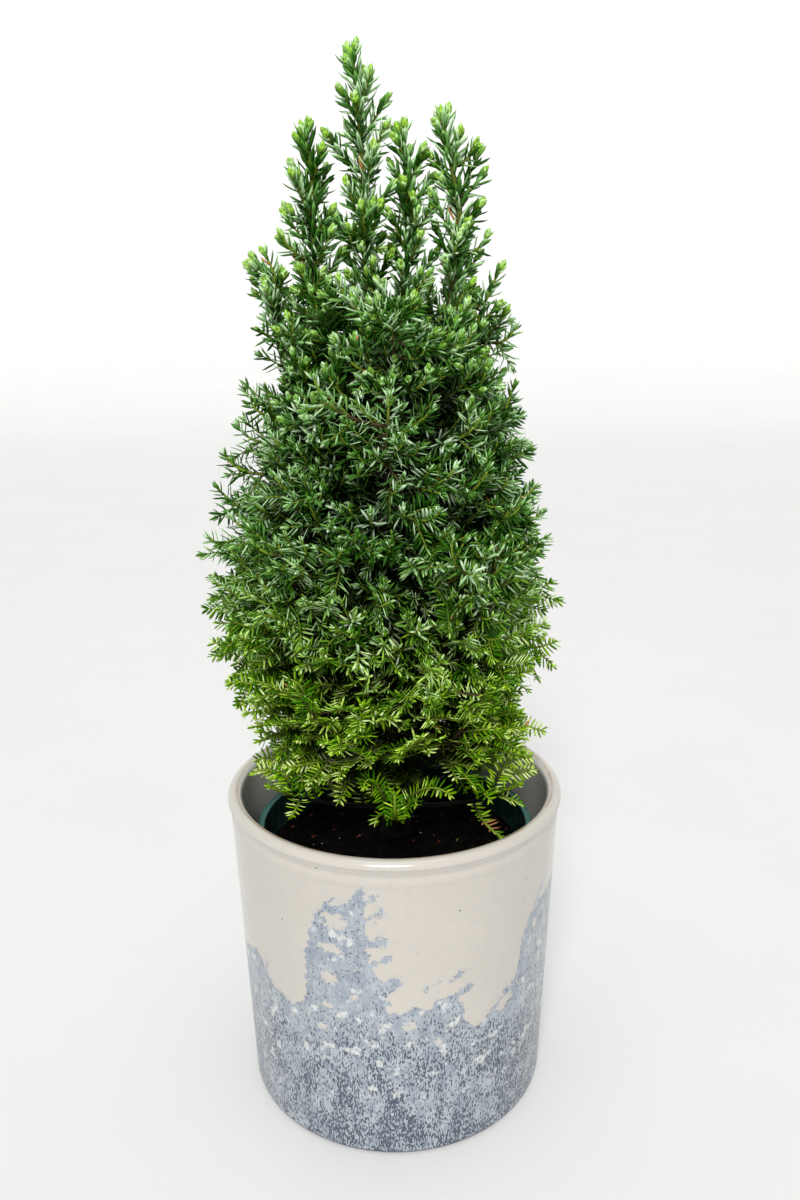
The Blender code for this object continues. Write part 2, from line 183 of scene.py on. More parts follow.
def triangle_mesh(name, vertices, triangles, material):
    """A mesh made straight from arrays, which is quick enough for tens of thousands of needles."""
    mesh = bpy.data.meshes.new(name)
    mesh.vertices.add(len(vertices))
    mesh.vertices.foreach_set("co", np.asarray(vertices, np.float32).ravel())
    count = len(triangles)
    mesh.loops.add(count * 3)
    mesh.loops.foreach_set("vertex_index", np.asarray(triangles, np.int32).ravel())
    mesh.polygons.add(count)
    mesh.polygons.foreach_set("loop_start", np.arange(0, count * 3, 3, dtype=np.int32))
    mesh.polygons.foreach_set("use_smooth", np.ones(count, bool))
    mesh.update(calc_edges=True)
    mesh.validate()
    mesh.materials.append(material)
    return in_scene(name, mesh)


def paint(piece, name, values):
    """A per-vertex attribute: a number, or three numbers, at each vertex."""
    values = np.asarray(values, np.float32)
    kind = "FLOAT" if values.ndim == 1 else "FLOAT_VECTOR"
    layer = piece.data.attributes.new(name, kind, "POINT")
    layer.data.foreach_set("value" if values.ndim == 1 else "vector", values.ravel())


def turned(name, profile, material, wobble):
    """A surface of revolution about Z through (radius, height) points, with a swell or ribs on it."""
    profile = np.asarray(profile, float)
    turns = np.linspace(0, 2 * np.pi, POT_SEGMENTS, endpoint=False)
    height = profile[:, 1][:, None]
    radius = profile[:, 0][:, None] * (1 + wobble(turns[None, :], height))
    x, y = radius * np.cos(turns), radius * np.sin(turns)
    vertices = np.stack([x, y, np.broadcast_to(height, x.shape)], -1).reshape(-1, 3)
    return new_piece(name, vertices.tolist(), ring_quads(len(profile), POT_SEGMENTS), material)


def arc(centre, radius, start, end, steps):
    """Points on an arc in a pot's profile, from one angle in degrees to the other."""
    angles = np.radians(np.linspace(start, end, steps + 1))
    return [(centre[0] + radius * math.cos(a), centre[1] + radius * math.sin(a)) for a in angles]


# ---------------------------------------------------------------- node materials

class Nodes:
    """A material's node tree with short calls for the nodes used here."""

    def __init__(self, name, roughness, specular=0.5):
        self.material = bpy.data.materials.new(name)
        self.material.use_nodes = True
        self.tree = self.material.node_tree
        self.shader = self.tree.nodes["Principled BSDF"]
        self.shader.inputs["Roughness"].default_value = roughness
        self.shader.inputs["Specular IOR Level"].default_value = specular

    def add(self, kind, inputs=None, **settings):
        node = self.tree.nodes.new(kind)
        for key, value in settings.items():
            setattr(node, key, value)
        for key, value in (inputs or {}).items():
            self.wire(value, node.inputs[key])
        return node

    def wire(self, value, socket):
        if isinstance(value, bpy.types.NodeSocket):
            self.tree.links.new(value, socket)
        else:
            socket.default_value = value

    def place(self, scale=(1, 1, 1)):
        """The point in the row frame, in millimetres, stretched by scale."""
        point = self.add("ShaderNodeTexCoord").outputs["Object"]
        size = [1000 * s for s in scale]
        return self.add("ShaderNodeVectorMath", {0: point, 1: size}, operation="MULTIPLY").outputs[0]

    def parts(self, vector):
        """The three numbers in a vector."""
        return self.add("ShaderNodeSeparateXYZ", {0: vector}).outputs

    def height(self):
        """Millimetres above the floor, in the row frame."""
        return self.parts(self.place())[2]

    def noise(self, vector, scale, detail=3.0, roughness=0.5, distortion=0.0):
        node = self.add("ShaderNodeTexNoise", {
            "Vector": vector, "Scale": scale, "Detail": detail, "Roughness": roughness,
            "Distortion": distortion})
        return node.outputs["Fac"]

    def cells(self, vector, scale):
        return self.add("ShaderNodeTexVoronoi", {"Vector": vector, "Scale": scale}).outputs["Distance"]

    def number(self, name):
        return self.add("ShaderNodeAttribute", attribute_name=name).outputs["Fac"]

    def three(self, name):
        """The three numbers of a painted attribute."""
        return self.parts(self.add("ShaderNodeAttribute", attribute_name=name).outputs["Vector"])

    def math(self, operation, a, b):
        return self.add("ShaderNodeMath", {0: a, 1: b}, operation=operation).outputs[0]

    def times(self, a, b):
        return self.math("MULTIPLY", a, b)

    def ramp(self, value, low, high, start=0.0, end=1.0):
        """A smooth step from start to end while value goes from low to high."""
        return self.add("ShaderNodeMapRange", {
            "Value": value, "From Min": low, "From Max": high, "To Min": start, "To Max": end},
            interpolation_type="SMOOTHSTEP").outputs[0]

    def mix(self, share, a, b):
        """Colour a where share is 0 and colour b where it is 1."""
        return self.add("ShaderNodeMix", {0: share, 6: a, 7: b}, data_type="RGBA").outputs[2]

    def bump(self, height, strength, distance):
        node = self.add("ShaderNodeBump", {"Height": height, "Strength": strength, "Distance": distance})
        self.tree.links.new(node.outputs[0], self.shader.inputs["Normal"])

    def finish(self, colour, roughness=None):
        self.wire(colour, self.shader.inputs["Base Color"])
        if roughness is not None:
            self.wire(roughness, self.shader.inputs["Roughness"])
        return self.material


def srgb(r, g, b):
    """A linear colour from 0-255 display values."""
    c = np.array([r, g, b]) / 255
    linear = np.where(c <= 0.04045, c / 12.92, ((c + 0.055) / 1.055) ** 2.4)
    return (*linear.tolist(), 1.0)


def needle_material():
    """Needles: leaf_a is (height tone, random, along the needle), leaf_b is (youth, dead, upper face).

    leaf_depth is 0 at the crown's surface and 1 well inside it, where the colour is darkened as painted
    shade.
    """
    n = Nodes("needle", 0.42, 0.08)
    tone, chance, along = n.three("leaf_a")
    youth, dead, upper_face = n.three("leaf_b")
    depth = n.number("leaf_depth")
    bright = n.ramp(chance, 0.12, 0.88)
    low = n.mix(bright, srgb(72, 134, 0), srgb(202, 248, 24))
    high = n.mix(bright, srgb(34, 82, 10), srgb(122, 186, 84))
    body = n.mix(n.ramp(tone, 0.2, 0.9), low, high)
    young = n.mix(n.ramp(tone, 0.3, 0.9), srgb(196, 234, 50), srgb(160, 208, 70))
    body = n.mix(n.ramp(youth, 0.1, 1.0), body, young)
    # Pale wax on the upper face, made bright enough to stand in for the gloss as well: partly the
    # needles' own wax, partly painted highlight.
    bloom_and_highlight = n.mix(n.ramp(tone, 0.25, 0.8), srgb(240, 255, 172), srgb(226, 252, 212))
    body = n.mix(n.times(upper_face, n.ramp(chance, 0.5, 0.98, 0.0, 0.9)), body, bloom_and_highlight)
    # Painted shade: the keel and the lower side of each needle are darker than its upper face.
    underside_shade = n.mix(n.ramp(tone, 0.2, 0.8), srgb(42, 80, 0), srgb(32, 64, 4))
    body = n.mix(n.ramp(upper_face, 0.45, 0.0, 0.0, 0.85), body, underside_shade)
    base = n.mix(n.ramp(along, 0.0, 0.3), srgb(62, 100, 4), body)
    mottle = n.noise(n.place(), 0.35, 2.0)
    base = n.mix(n.ramp(mottle, 0.3, 0.7, 0.0, 0.2), base, srgb(32, 66, 2))
    colour = n.mix(dead, base, n.mix(chance, srgb(150, 92, 46), srgb(204, 150, 94)))
    # Painted shade: needles deep in the crown are darkened almost to black.
    colour = n.mix(n.ramp(depth, 0.0, 1.0, 0.0, 0.9), colour, srgb(8, 18, 0))
    return n.finish(colour, n.ramp(chance, 0.0, 1.0, 0.36, 0.55))


def twig_material():
    """Twigs: shoot is 0 on old brown wood and 1 on this year's green growth."""
    n = Nodes("twig", 0.6, 0.2)
    young = n.number("shoot")
    depth = n.number("leaf_depth")
    grain = n.noise(n.place((1, 1, 0.4)), 1.6, 4.0)
    old = n.mix(grain, srgb(34, 26, 14), srgb(76, 60, 34))
    # Painted shade: the wood turns almost black low down, beneath the crown.
    old = n.mix(n.ramp(n.height(), 158, 132), old, srgb(5, 4, 2))
    green = n.mix(grain, srgb(84, 112, 18), srgb(138, 158, 46))
    n.bump(grain, 0.4, 0.0003)
    colour = n.mix(young, old, green)
    # Painted shade: twigs deep in the crown are darkened.
    return n.finish(n.mix(n.ramp(depth, 0.0, 1.0, 0.0, 0.8), colour, srgb(12, 12, 6)))


def bark_material():
    n = Nodes("bark", 0.9, 0.2)
    fibre = n.noise(n.place((1, 1, 0.18)), 1.1, 6.0, 0.65)
    patches = n.noise(n.place(), 0.16, 3.0)
    colour = n.mix(n.ramp(fibre, 0.3, 0.7), srgb(24, 16, 10), srgb(78, 56, 36))
    colour = n.mix(n.ramp(patches, 0.45, 0.7), colour, srgb(66, 60, 42))
    # Painted shade: the trunk turns almost black low down, beneath the crown.
    colour = n.mix(n.ramp(n.height(), 148, 120), colour, srgb(4, 3, 2))
    n.bump(fibre, 0.9, 0.0009)
    return n.finish(colour)


# ---------------------------------------------------------------- reading the CAD stems

def node_points(name):
    vertices = frame["nodes"][name].data.vertices
    points = np.zeros(len(vertices) * 3, np.float32)
    vertices.foreach_get("co", points)
    return np.unique(np.round(points.reshape(-1, 3).astype(float), 6), axis=0)


def stem_line(name, samples=41):
    """(centreline points, radii) of a CAD stem, from its thick end to its thin end."""
    points = node_points(name)
    centre = points.mean(0)
    direction = np.linalg.svd(points - centre, full_matrices=False)[2][0]
    along = (points - centre) @ direction
    order = np.argsort(along)
    gap_between_rings = 1.6 * MM
    splits = np.where(np.diff(along[order]) > gap_between_rings)[0] + 1
    rings = [points[group] for group in np.split(order, splits)]
    middles = np.array([r.mean(0) for r in rings])
    radii = np.array([np.linalg.norm(r - r.mean(0), axis=1).mean() for r in rings])
    if radii[0] < radii[-1]:
        middles, radii = middles[::-1], radii[::-1]
    travel = travelled(middles)
    share = travel / travel[-1]
    wanted = np.linspace(0, 1, samples)
    fitted = np.stack([np.polyval(np.polyfit(share, middles[:, k], 3), wanted) for k in range(3)], 1)
    return fitted, np.interp(wanted, share, radii)


# ---------------------------------------------------------------- growing shoots

TWIG_END = 0.42 * MM           # a twig's radius at its tip
SIDE_SHOOT_OPENING = (42, 56)  # degrees between a twig and its side shoots
DEAD_SHOOTS = 0.0006           # share of the side shoots that have died back
DEAD_NEEDLES = 0.0016          # share of the other needles that are brown
NEEDLE_CORNERS = 10            # vertices in one needle
NO_SIDE_SHOOTS = 1.0           # a gap between side shoots, in metres, that no twig is long enough for
LEADERS_LEAFY_FROM = 296 * MM  # height where the leaders' own needles begin


class Growth:
    """Everything that grows on one limb: tubes for the wood and blades for the needles."""

    def __init__(self, name, body):
        self.name = name
        self.body = body
        self.tubes = []       # (points, radii, youth at each point, sides)
        self.needles = []     # arrays of (base, heading, face, length, width, youth, dead, mood)


def frames_along(points, normal):
    """Tangent, face normal and sideways direction at each point of a shoot."""
    tangent = unit(np.gradient(points, axis=0))
    face = square_to(tangent, np.broadcast_to(normal, tangent.shape))
    return tangent, face, np.cross(tangent, face)


def tone_at(points):
    """0 at the yellow-green skirt, 1 at the blue-green top."""
    return np.clip((points[..., 2] / MM - 125) / 130, 0, 1)


def needle_rows(growth, points, normal, habit, start=0.0, dead=NONE_DEAD):
    """Needles on a shoot beyond the share start: combs on a flat spray, otherwise all round."""
    total = path_length(points)
    count = int(total * (1 - start) / habit.spacing)
    if count < 2:
        return
    travel = travelled(points)
    shares = start + (1 - start) * (np.arange(count) + 0.5) / count
    at = np.stack([np.interp(shares * total, travel, points[:, k]) for k in range(3)], 1)
    tangent, face, side = frames_along(at, normal)
    closeness = np.clip((shares * total - (total - 7 * MM)) / (7 * MM), 0, 1)
    brown = ((shares > dead[0]) & (shares < dead[1])).astype(float)
    mood = RNG.uniform()
    for rank in range(habit.ranks):
        if habit.flat and rank < 2:
            turn = np.abs(math.pi * rank - 0.2) + RNG.normal(0, 0.12, count)
        elif habit.flat:
            turn = math.pi / 2 + RNG.normal(0, 0.5, count)
        else:
            turn = np.arange(count) * 1.92 + 2 * math.pi * rank / habit.ranks + RNG.normal(0, 0.22, count)
        across = swing(side, face, turn)
        wide, tight = habit.spread
        opening = np.radians(wide + (tight - wide) * closeness**1.2) + RNG.normal(0, 0.08, count)
        heading = unit(swing(tangent, across, opening))
        facing = face if habit.flat else tangent
        blade = square_to(heading, facing + 0.2 * RNG.normal(0, 1, (count, 3)))
        size = habit.length * RNG.uniform(0.88, 1.1, count) * (1 - 0.45 * closeness**1.4)
        size *= np.clip(0.7 + 0.3 * (shares - start) / max(1e-6, 0.25 * (1 - start)), 0.7, 1)
        width = habit.width * (1 + 0.1 * closeness) * RNG.uniform(0.9, 1.1, count)
        keep = np.ones(count, bool) if rank < 2 or not habit.flat else RNG.uniform(0, 1, count) < 0.3
        growth.needles.append(tuple(v[keep] for v in (
            at, heading, blade, size, width, closeness**2 * habit.youth, brown, np.full(count, mood))))


def bud(growth, points, normal, habit):
    """A tuft of short incurved needles that closes a shoot's tip, tighter on upright shoots."""
    along = unit(points[-1] - points[-2])
    face = square_to(along, normal)
    side = np.cross(along, face)
    count, wide, inner_angle, outer_angle = habit.bud
    inner = np.arange(count) < count // 2
    turn = np.arange(count) * 2.4
    across = swing(side, face, turn)
    heading = unit(swing(along, across, np.radians(np.where(inner, inner_angle, outer_angle))))
    size = habit.length * np.where(inner, 0.5, 0.44) * RNG.uniform(0.85, 1.1, count)
    start = points[-1] - along * np.where(inner, 0.0, 0.8 * MM)[:, None]
    growth.needles.append((start, heading, square_to(heading, -across), size,
                           np.full(count, habit.width * wide), np.full(count, habit.youth),
                           np.zeros(count), np.full(count, 0.6)))


class Habit:
    """How a shoot carries its needles and side shoots at a height z, flat or all round it."""

    def __init__(self, z, flat, upright=False):
        rise = float(np.clip((z / MM - 150) / 100, 0, 1))
        self.flat = flat
        self.ranks = 3 if flat else 2
        self.length = (5.3 + 1.5 * rise) * MM
        self.width = (0.92 + 0.12 * rise) * MM
        self.spacing = (1.5 - 0.02 * rise) * MM
        self.spread = (74 - 8 * rise, 42 - 10 * rise)    # degrees from the shoot, low down and at its tip
        self.youth = 0.22 + 0.1 * rise
        self.gap = (13.0 - 3.5 * rise) * MM              # between side shoots on one side
        self.longest = (17.0 - 4.0 * rise) * MM
        self.shortest = (9.0 - 3.5 * rise) * MM
        self.bud = (3 if flat else 5, 0.95, 16, 34)      # needles, width, inner and outer angle
        self.curl = -0.04                                # how far side shoots turn up, by their length
        if upright:
            self.length, self.width, self.spacing = 6.7 * MM, 1.4 * MM, 1.65 * MM
            self.spread = (50, 18)
            self.gap, self.longest, self.shortest = 7.0 * MM, 9.0 * MM, 4.5 * MM
            self.youth = 0.9
            self.bud = (9, 1.25, 10, 26)
            self.curl = 0.15


def shoot(growth, start, heading, length, normal, radius, habit, curl, dead=NONE_DEAD):
    """A side shoot: a slightly curved twig with needles and a closed tip."""
    heading = unit(heading)
    end = start + heading * length + curl * length * UP
    middle = start + heading * length * 0.5
    points = bezier(start, middle, end, np.linspace(0, 1, 6))
    growth.tubes.append((points, np.linspace(radius, radius * 0.6, 6), np.linspace(0.55, 1.0, 6), 4))
    needle_rows(growth, points, normal, habit, 0.04, dead)
    bud(growth, points, normal, habit)


def branch(growth, curve, normal, radius, habit, bare, dead=NONE_DEAD, green=0.2):
    """A twig with needles and side shoots beyond the share bare, and green wood beyond green."""
    share = np.linspace(0, 1, 16)
    points = bezier(*curve, share)
    total = path_length(points)
    growth.tubes.append((points, np.interp(share, [0, 1], [radius, TWIG_END]),
                         np.clip((share - green) * 2.2, 0, 1), 5))
    needle_rows(growth, points, normal, habit, bare, dead)
    bud(growth, points, normal, habit)
    if habit.gap > total:
        return
    tangent, face, side = frames_along(points, normal)
    first = bare * total * 0.9
    count = max(0, int((total - 6 * MM - first) / habit.gap * 2))
    for i in range(count):
        at = (first + (i + 0.5 + RNG.uniform(-0.3, 0.3)) * habit.gap / 2) / total
        k = min(len(points) - 2, max(0, int(at * (len(points) - 1))))
        local = at * (len(points) - 1) - k
        origin = points[k] * (1 - local) + points[k + 1] * local
        left = 4 * MM + total * (1 - at) * 0.7
        length = min(habit.longest, left) * RNG.uniform(0.75, 1.1)
        if length < habit.shortest or RNG.uniform() < 0.1:
            continue
        turn = math.pi * (i % 2) + RNG.normal(0, 0.2) if habit.flat else i * 2.4 + RNG.normal(0, 0.25)
        across = swing(side[k], face[k], turn)
        heading = swing(tangent[k], across, math.radians(RNG.uniform(*SIDE_SHOOT_OPENING)))
        facing = face[k] if habit.flat else square_to(heading, tangent[k])
        curl = habit.curl + RNG.uniform(-0.06, 0.06)
        died_back = ALL_DEAD if RNG.uniform() < DEAD_SHOOTS else NONE_DEAD
        shoot(growth, origin, heading, length, facing, TWIG_END, habit, curl, died_back)


def is_flat(z):
    """Sprays are flat near the skirt and grow all round further up."""
    return bool(RNG.uniform() > np.clip((z / MM - 180) / 110, 0.03, 0.85))


# ---------------------------------------------------------------- planning the crown

# Layers of twig tips: how deep each lies as a share of the reach, its spacing and its top in mm
CROWN_LAYERS = ((0.0, 11.6, 318), (0.12, 12.4, 312), (0.28, 13.8, 304), (0.52, 18.0, 296))


def crown_targets():
    """Twig tips spread over the crown: an outer layer with humps and hollows, and layers behind it."""
    targets = []
    for depth, spacing, top in CROWN_LAYERS:
        z, turn = 130.0, depth * 9
        while z < top:
            reach = float(crown_reach(z * MM, 0.3)) / MM * (1 - depth)
            turn += GOLDEN_ANGLE
            z += spacing**2 / (2 * math.pi * max(reach, 8)) * 0.93
            azimuth = turn + RNG.normal(0, 0.12)
            height = z + RNG.normal(0, 3.0)
            limit = float(crown_reach(height * MM, azimuth)) / MM
            hump = math.sin(3 * azimuth + height / 13) * math.sin(height / 9.5 - 2 * azimuth)
            radius = limit * (1 - depth) * (1 + 0.05 * hump) - 2.5 - abs(RNG.normal(0, 4.0))
            # The front is open above the potting mix, and daylight shows through the skirt.
            if height < 152 and -radius * math.sin(azimuth) > 26:
                continue
            if RNG.uniform() < (0.2 if depth else 0.1) * np.clip((180 - height) / 20, 0, 1):
                continue
            targets.append((radius * math.cos(azimuth), radius * math.sin(azimuth), height))
    return np.array(targets) * MM


def plan_growth(stems, targets):
    """For each target, the limb and the point on it that a twig would most naturally leave from."""
    names = list(stems)
    beyond_base = slice(4, None)
    samples = np.concatenate([stems[name][beyond_base] for name in names])
    tangents = np.concatenate([unit(np.gradient(stems[name], axis=0))[beyond_base] for name in names])
    share = np.concatenate([np.linspace(0, 1, len(stems[name]))[beyond_base] for name in names])
    owner = np.concatenate([np.full(len(stems[name][beyond_base]), i) for i, name in enumerate(names)])
    taken = np.zeros(len(samples))
    plan = []
    for target in targets:
        way = target - samples
        distance = np.linalg.norm(way, axis=1)
        lean = np.sum(way * tangents, axis=1) / np.maximum(distance, 1e-9)
        # Dearer: far off, turning back, from a place with twigs already, too short, inwards, too steep.
        cost = distance * (1 + 1.4 * np.clip(0.55 - lean, 0, None)) + 5 * MM * taken
        cost += np.where(distance < 9 * MM, 30 * MM, 0)
        run = np.hypot(target[0], target[1]) - np.hypot(samples[:, 0], samples[:, 1])
        cost += np.clip(-run, 0, None) * 1.5
        slope = np.interp(target[2] / MM, [160, 230, 300], [0.5, 1.2, 4.0])
        cost += np.clip(way[:, 2] - slope * np.clip(run, 0, None), 0, None) * 2.0
        best = int(np.argmin(cost))
        near = (owner == owner[best]) & (np.abs(share - share[best]) < 0.05)
        taken[near] += 1
        plan.append((names[owner[best]], samples[best], target))
    return plan


def grow_twig(growth, origin, target, manner=""):
    """A twig from a limb to its tip. It ends level near the skirt and more and more upright above.

    The manner is "accent" for a spray that shows its face at the outline, "upright" beside the
    leaders, "bare" for a long shoot with few needles, and "droop" or "brown" for a plain comb
    that hangs over the potting mix.
    """
    distance = float(np.linalg.norm(target - origin))
    z = target[2]
    upright, hanging = manner == "upright", manner in ("droop", "brown")
    outward = unit(np.array([target[0], target[1], 0.0]))
    around = np.cross(UP, outward)
    climb = np.interp(z / MM, [135, 165, 200, 240, 320], [-0.3, 0.1, 0.7, 1.3, 2.4])
    drift = RNG.normal(0, 0.55)
    if upright or manner == "bare":
        climb = np.interp(abs(target[0]) / MM, [16, 44], [3.4, 1.5])
        drift = RNG.normal(0, 0.3)
    if hanging:
        climb, drift = -0.5, RNG.normal(0, 0.25)
    end_way = unit(outward + climb * UP + drift * around)
    run = np.clip(0.5 * distance, 6 * MM, (24 if manner in ("", "accent") else 34) * MM)
    middle = target - run * end_way
    rise = float(np.clip((z / MM - 160) / 50, 0, 1))
    normal = (1 - rise) * (UP + 0.7 * outward) + rise * (outward + 0.3 * UP) + RNG.normal(0, 0.22, 3)
    normal = normal + RNG.normal(0, 0.55) * around
    if manner == "accent":
        normal = normal + 2.5 * around * np.sign(-around[1])
    plume = upright or (manner == "" and RNG.uniform() < np.clip((z / MM - 265) / 40, 0, 0.7))
    habit = Habit(z, hanging or (manner in ("", "accent") and not plume and is_flat(z)), plume)
    if plume and not upright:
        habit.youth = 0.5
    leafy = 60 if upright else 32
    if manner == "bare":
        habit.spacing, habit.gap = 2.6 * MM, 8 * MM
        leafy = 60
    if hanging:
        habit.gap = NO_SIDE_SHOOTS
        leafy = 30
    bare = float(np.clip(1 - leafy * MM / max(distance, 1e-6), 0.05, 0.75))
    radius = (0.5 + 0.008 * distance / MM) * MM
    dead = (0.5, 0.74) if manner == "brown" else NONE_DEAD
    green = 0.35 if manner == "bare" else 0.2
    branch(growth, (origin, middle, target), square_to(end_way, normal), radius, habit, bare, dead, green)


def lean_leader(name, line):
    """A leader's line moved to where the photo shows it, with the tip cut to its height."""
    points, radii = line
    heights, shifts, cut = LEADER_LEAN[name.split("_")[0]]
    points = points.copy()
    points[:, 0] += np.interp(points[:, 2] / MM, heights, shifts) * MM
    points[:, 2] -= np.clip((points[:, 2] - points[-1, 2] + 60 * MM) / (60 * MM), 0, 1) * cut * MM
    return points, radii


def leader_habit(z, length, width, spread):
    habit = Habit(z, flat=False, upright=True)
    habit.length, habit.width, habit.spacing, habit.spread = length, width, 1.5 * MM, spread
    return habit


def grow_leader(growth, points):
    """An upright leader: needles close to its stem and short side shoots with blunt tips."""
    upper = points[points[:, 2] > LEADERS_LEAFY_FROM]
    along = unit(upper[-1] - upper[-2])
    upper = np.vstack([upper, upper[-1] + along * 3 * MM])
    total = path_length(upper)
    habit = leader_habit(upper[0][2], 9.0 * MM, 1.7 * MM, (44, 15))
    side_habit = leader_habit(upper[0][2], 7.0 * MM, 1.65 * MM, (48, 16))
    front = np.array([0.0, -1.0, 0.0])
    growth.tubes.append((upper, np.linspace(1.3 * MM, 0.7 * MM, len(upper)),
                         np.linspace(0.1, 0.6, len(upper)), 8))
    needle_rows(growth, upper, front, habit)
    bud(growth, upper, front, habit)
    tangent, face, side = frames_along(upper, front)
    travel = travelled(upper)
    # Side shoots, from the tip down: distance along the leader, length in mm, opening in degrees
    places = [(total - drop * MM, length, opening) for drop, length, opening in
              ((4, 5.5, 24), (8, 6.0, 30), (12, 7.0, 36), (16, 9.0, 44), (20, 9.0, 46))]
    below = total - 25 * MM
    while below > 3 * MM:
        places.append((below, RNG.uniform(9.0, 15.0), RNG.uniform(42, 60)))
        below -= RNG.uniform(2.7, 4.1) * MM
    for i, (at, length, opening) in enumerate(places):
        k = min(max(int(np.searchsorted(travel, at)) - 1, 0), len(upper) - 2)
        origin = upper[k] + (at - travel[k]) * tangent[k]
        turn = i * GOLDEN_ANGLE + RNG.normal(0, 0.2)
        across = swing(side[k], face[k], turn)
        heading = swing(tangent[k], across, math.radians(opening))
        curl = 0.3 if length > 8 else 0.1
        shoot(growth, origin, heading, length * MM, across, 0.55 * MM, side_habit, curl)


# ---------------------------------------------------------------- growth to meshes

def tube_mesh(tubes):
    """All the tubes of one limb as closed triangle meshes, with the youth of the wood at each point."""
    vertices, faces, youth = [], [], []
    base = 0
    for points, radii, young, sides in tubes:
        tangent = unit(np.gradient(points, axis=0))
        across = square_to(tangent, np.broadcast_to(np.array([0.31, 0.52, 0.79]), tangent.shape))
        third = np.cross(tangent, across)
        turns = np.arange(sides) * 2 * math.pi / sides
        ring = (across[:, None] * np.cos(turns)[None, :, None]
                + third[:, None] * np.sin(turns)[None, :, None])
        vertices.append((points[:, None] + ring * np.asarray(radii)[:, None, None]).reshape(-1, 3))
        youth.append(np.repeat(young, sides))
        grid = base + np.arange(len(points) * sides).reshape(len(points), sides)
        low, high = grid[:-1], grid[1:]
        a, b = low, np.roll(low, -1, 1)
        c, d = np.roll(high, -1, 1), high
        faces.append(np.stack([a, b, c], -1).reshape(-1, 3))
        faces.append(np.stack([a, c, d], -1).reshape(-1, 3))
        # The caps at both ends
        for ring_ids, flip in ((grid[0], True), (grid[-1], False)):
            fan = [(ring_ids[0], ring_ids[i], ring_ids[i + 1]) for i in range(1, sides - 1)]
            faces.append(np.array([f[::-1] if flip else f for f in fan]))
        base += len(points) * sides
    return np.concatenate(vertices), np.concatenate(faces), np.concatenate(youth)


def blade_mesh(rows):
    """One closed, keeled and slightly curved blade for each needle, with its attributes and UVs."""
    at, heading, blade, size, width, youth, dead, mood = (
        np.concatenate([r[k] for r in rows]) for k in range(8))
    count = len(at)
    side = np.cross(heading, blade)
    stations = ((0.03, 0.45, 0.6, 0.0), (0.28, 0.95, 1.0, 0.01), (0.72, 0.9, 0.9, 0.045))
    corners = []
    for along, wide, thick, lift in stations:
        middle = at + heading * (along * size)[:, None] + blade * (lift * size)[:, None]
        edge = side * (0.5 * wide * width)[:, None]
        corners += [middle + edge, middle - edge, middle - blade * (0.3 * thick * width)[:, None]]
    corners.append(at + heading * size[:, None] + blade * (0.09 * size)[:, None])
    vertices = np.stack(corners, 1).reshape(-1, 3)
    pattern = [(0, 2, 1)]
    for low in (0, 3):
        for i, j in ((0, 1), (1, 2), (2, 0)):
            pattern += [(low + i, low + j, low + 3 + j), (low + i, low + 3 + j, low + 3 + i)]
    pattern += [(6, 7, 9), (7, 8, 9), (8, 6, 9)]
    triangles = np.array(pattern)[None] + NEEDLE_CORNERS * np.arange(count)[:, None, None]
    chance = np.clip(0.5 + 0.75 * (mood - 0.5) + 0.75 * (RNG.uniform(0, 1, count) - 0.5), 0, 1)
    dead = np.where(RNG.uniform(0, 1, count) < DEAD_NEEDLES, 1.0, dead)
    tone = np.clip(tone_at(at) + RNG.normal(0, 0.10, count), 0, 1)
    along = np.tile([0.03] * 3 + [0.28] * 3 + [0.72] * 3 + [1.0], count)
    # How far each corner lies on the needle's upper face: the material puts its pale wax and painted
    # highlight there, and painted shade on the keel.
    upper_face = np.tile([0.5, 0.5, 0.0, 1.0, 1.0, 0.0, 1.0, 1.0, 0.1, 0.8], count)
    tone, chance, youth, dead, depth = (
        np.repeat(v, NEEDLE_CORNERS) for v in (tone, chance, youth, dead, crown_depth(at)))
    leaf_a = np.stack([tone, chance, along], 1)
    leaf_b = np.stack([youth, dead, upper_face], 1)
    # Each needle has its own cell of the UV square.
    cells = int(math.ceil(math.sqrt(count)))
    corner = np.stack([np.arange(count) % cells, np.arange(count) // cells], 1).astype(float)
    shape = np.array([(u, v) for v in (0.12, 0.35, 0.65) for u in (0.2, 0.8, 0.5)] + [(0.5, 0.9)])
    uv = (corner[:, None] + shape[None]) / cells
    return vertices, triangles.reshape(-1, 3), leaf_a, leaf_b, depth, uv.reshape(-1, 2)


def add_uv(piece, uv):
    layer = piece.data.uv_layers.new(name="OFBake")
    loops = np.zeros(len(piece.data.loops), np.int32)
    piece.data.loops.foreach_get("vertex_index", loops)
    layer.data.foreach_set("uv", uv[loops].astype(np.float32).ravel())


def build_growth(growth, needle_mat, twig_mat):
    vertices, faces, youth = tube_mesh(growth.tubes)
    wood = triangle_mesh(f"{growth.name}_wood", vertices, faces, twig_mat)
    paint(wood, "shoot", youth)
    paint(wood, "leaf_depth", crown_depth(vertices))
    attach(wood, growth.body)
    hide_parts(f"{growth.name}_stem")
    vertices, faces, leaf_a, leaf_b, depth, uv = blade_mesh(growth.needles)
    needles = triangle_mesh(f"{growth.name}_needles", vertices, faces, needle_mat)
    paint(needles, "leaf_a", leaf_a)
    paint(needles, "leaf_b", leaf_b)
    paint(needles, "leaf_depth", depth)
    add_uv(needles, uv)
    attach(needles, growth.body)
    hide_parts(f"{growth.name}_foliage")


def at_the_front(points):
    return points[-1][1] < -50 * MM


def wood_end(name, points):
    """How many of a stem's points its wood runs through. A leafy shoot takes over from there."""
    if name.endswith("leader"):
        return len(points)
    if name.startswith("skirt"):
        return len(points) - (19 if at_the_front(points) else 7)
    return len(points) - (7 if points[-1][2] > 325 * MM else 3)


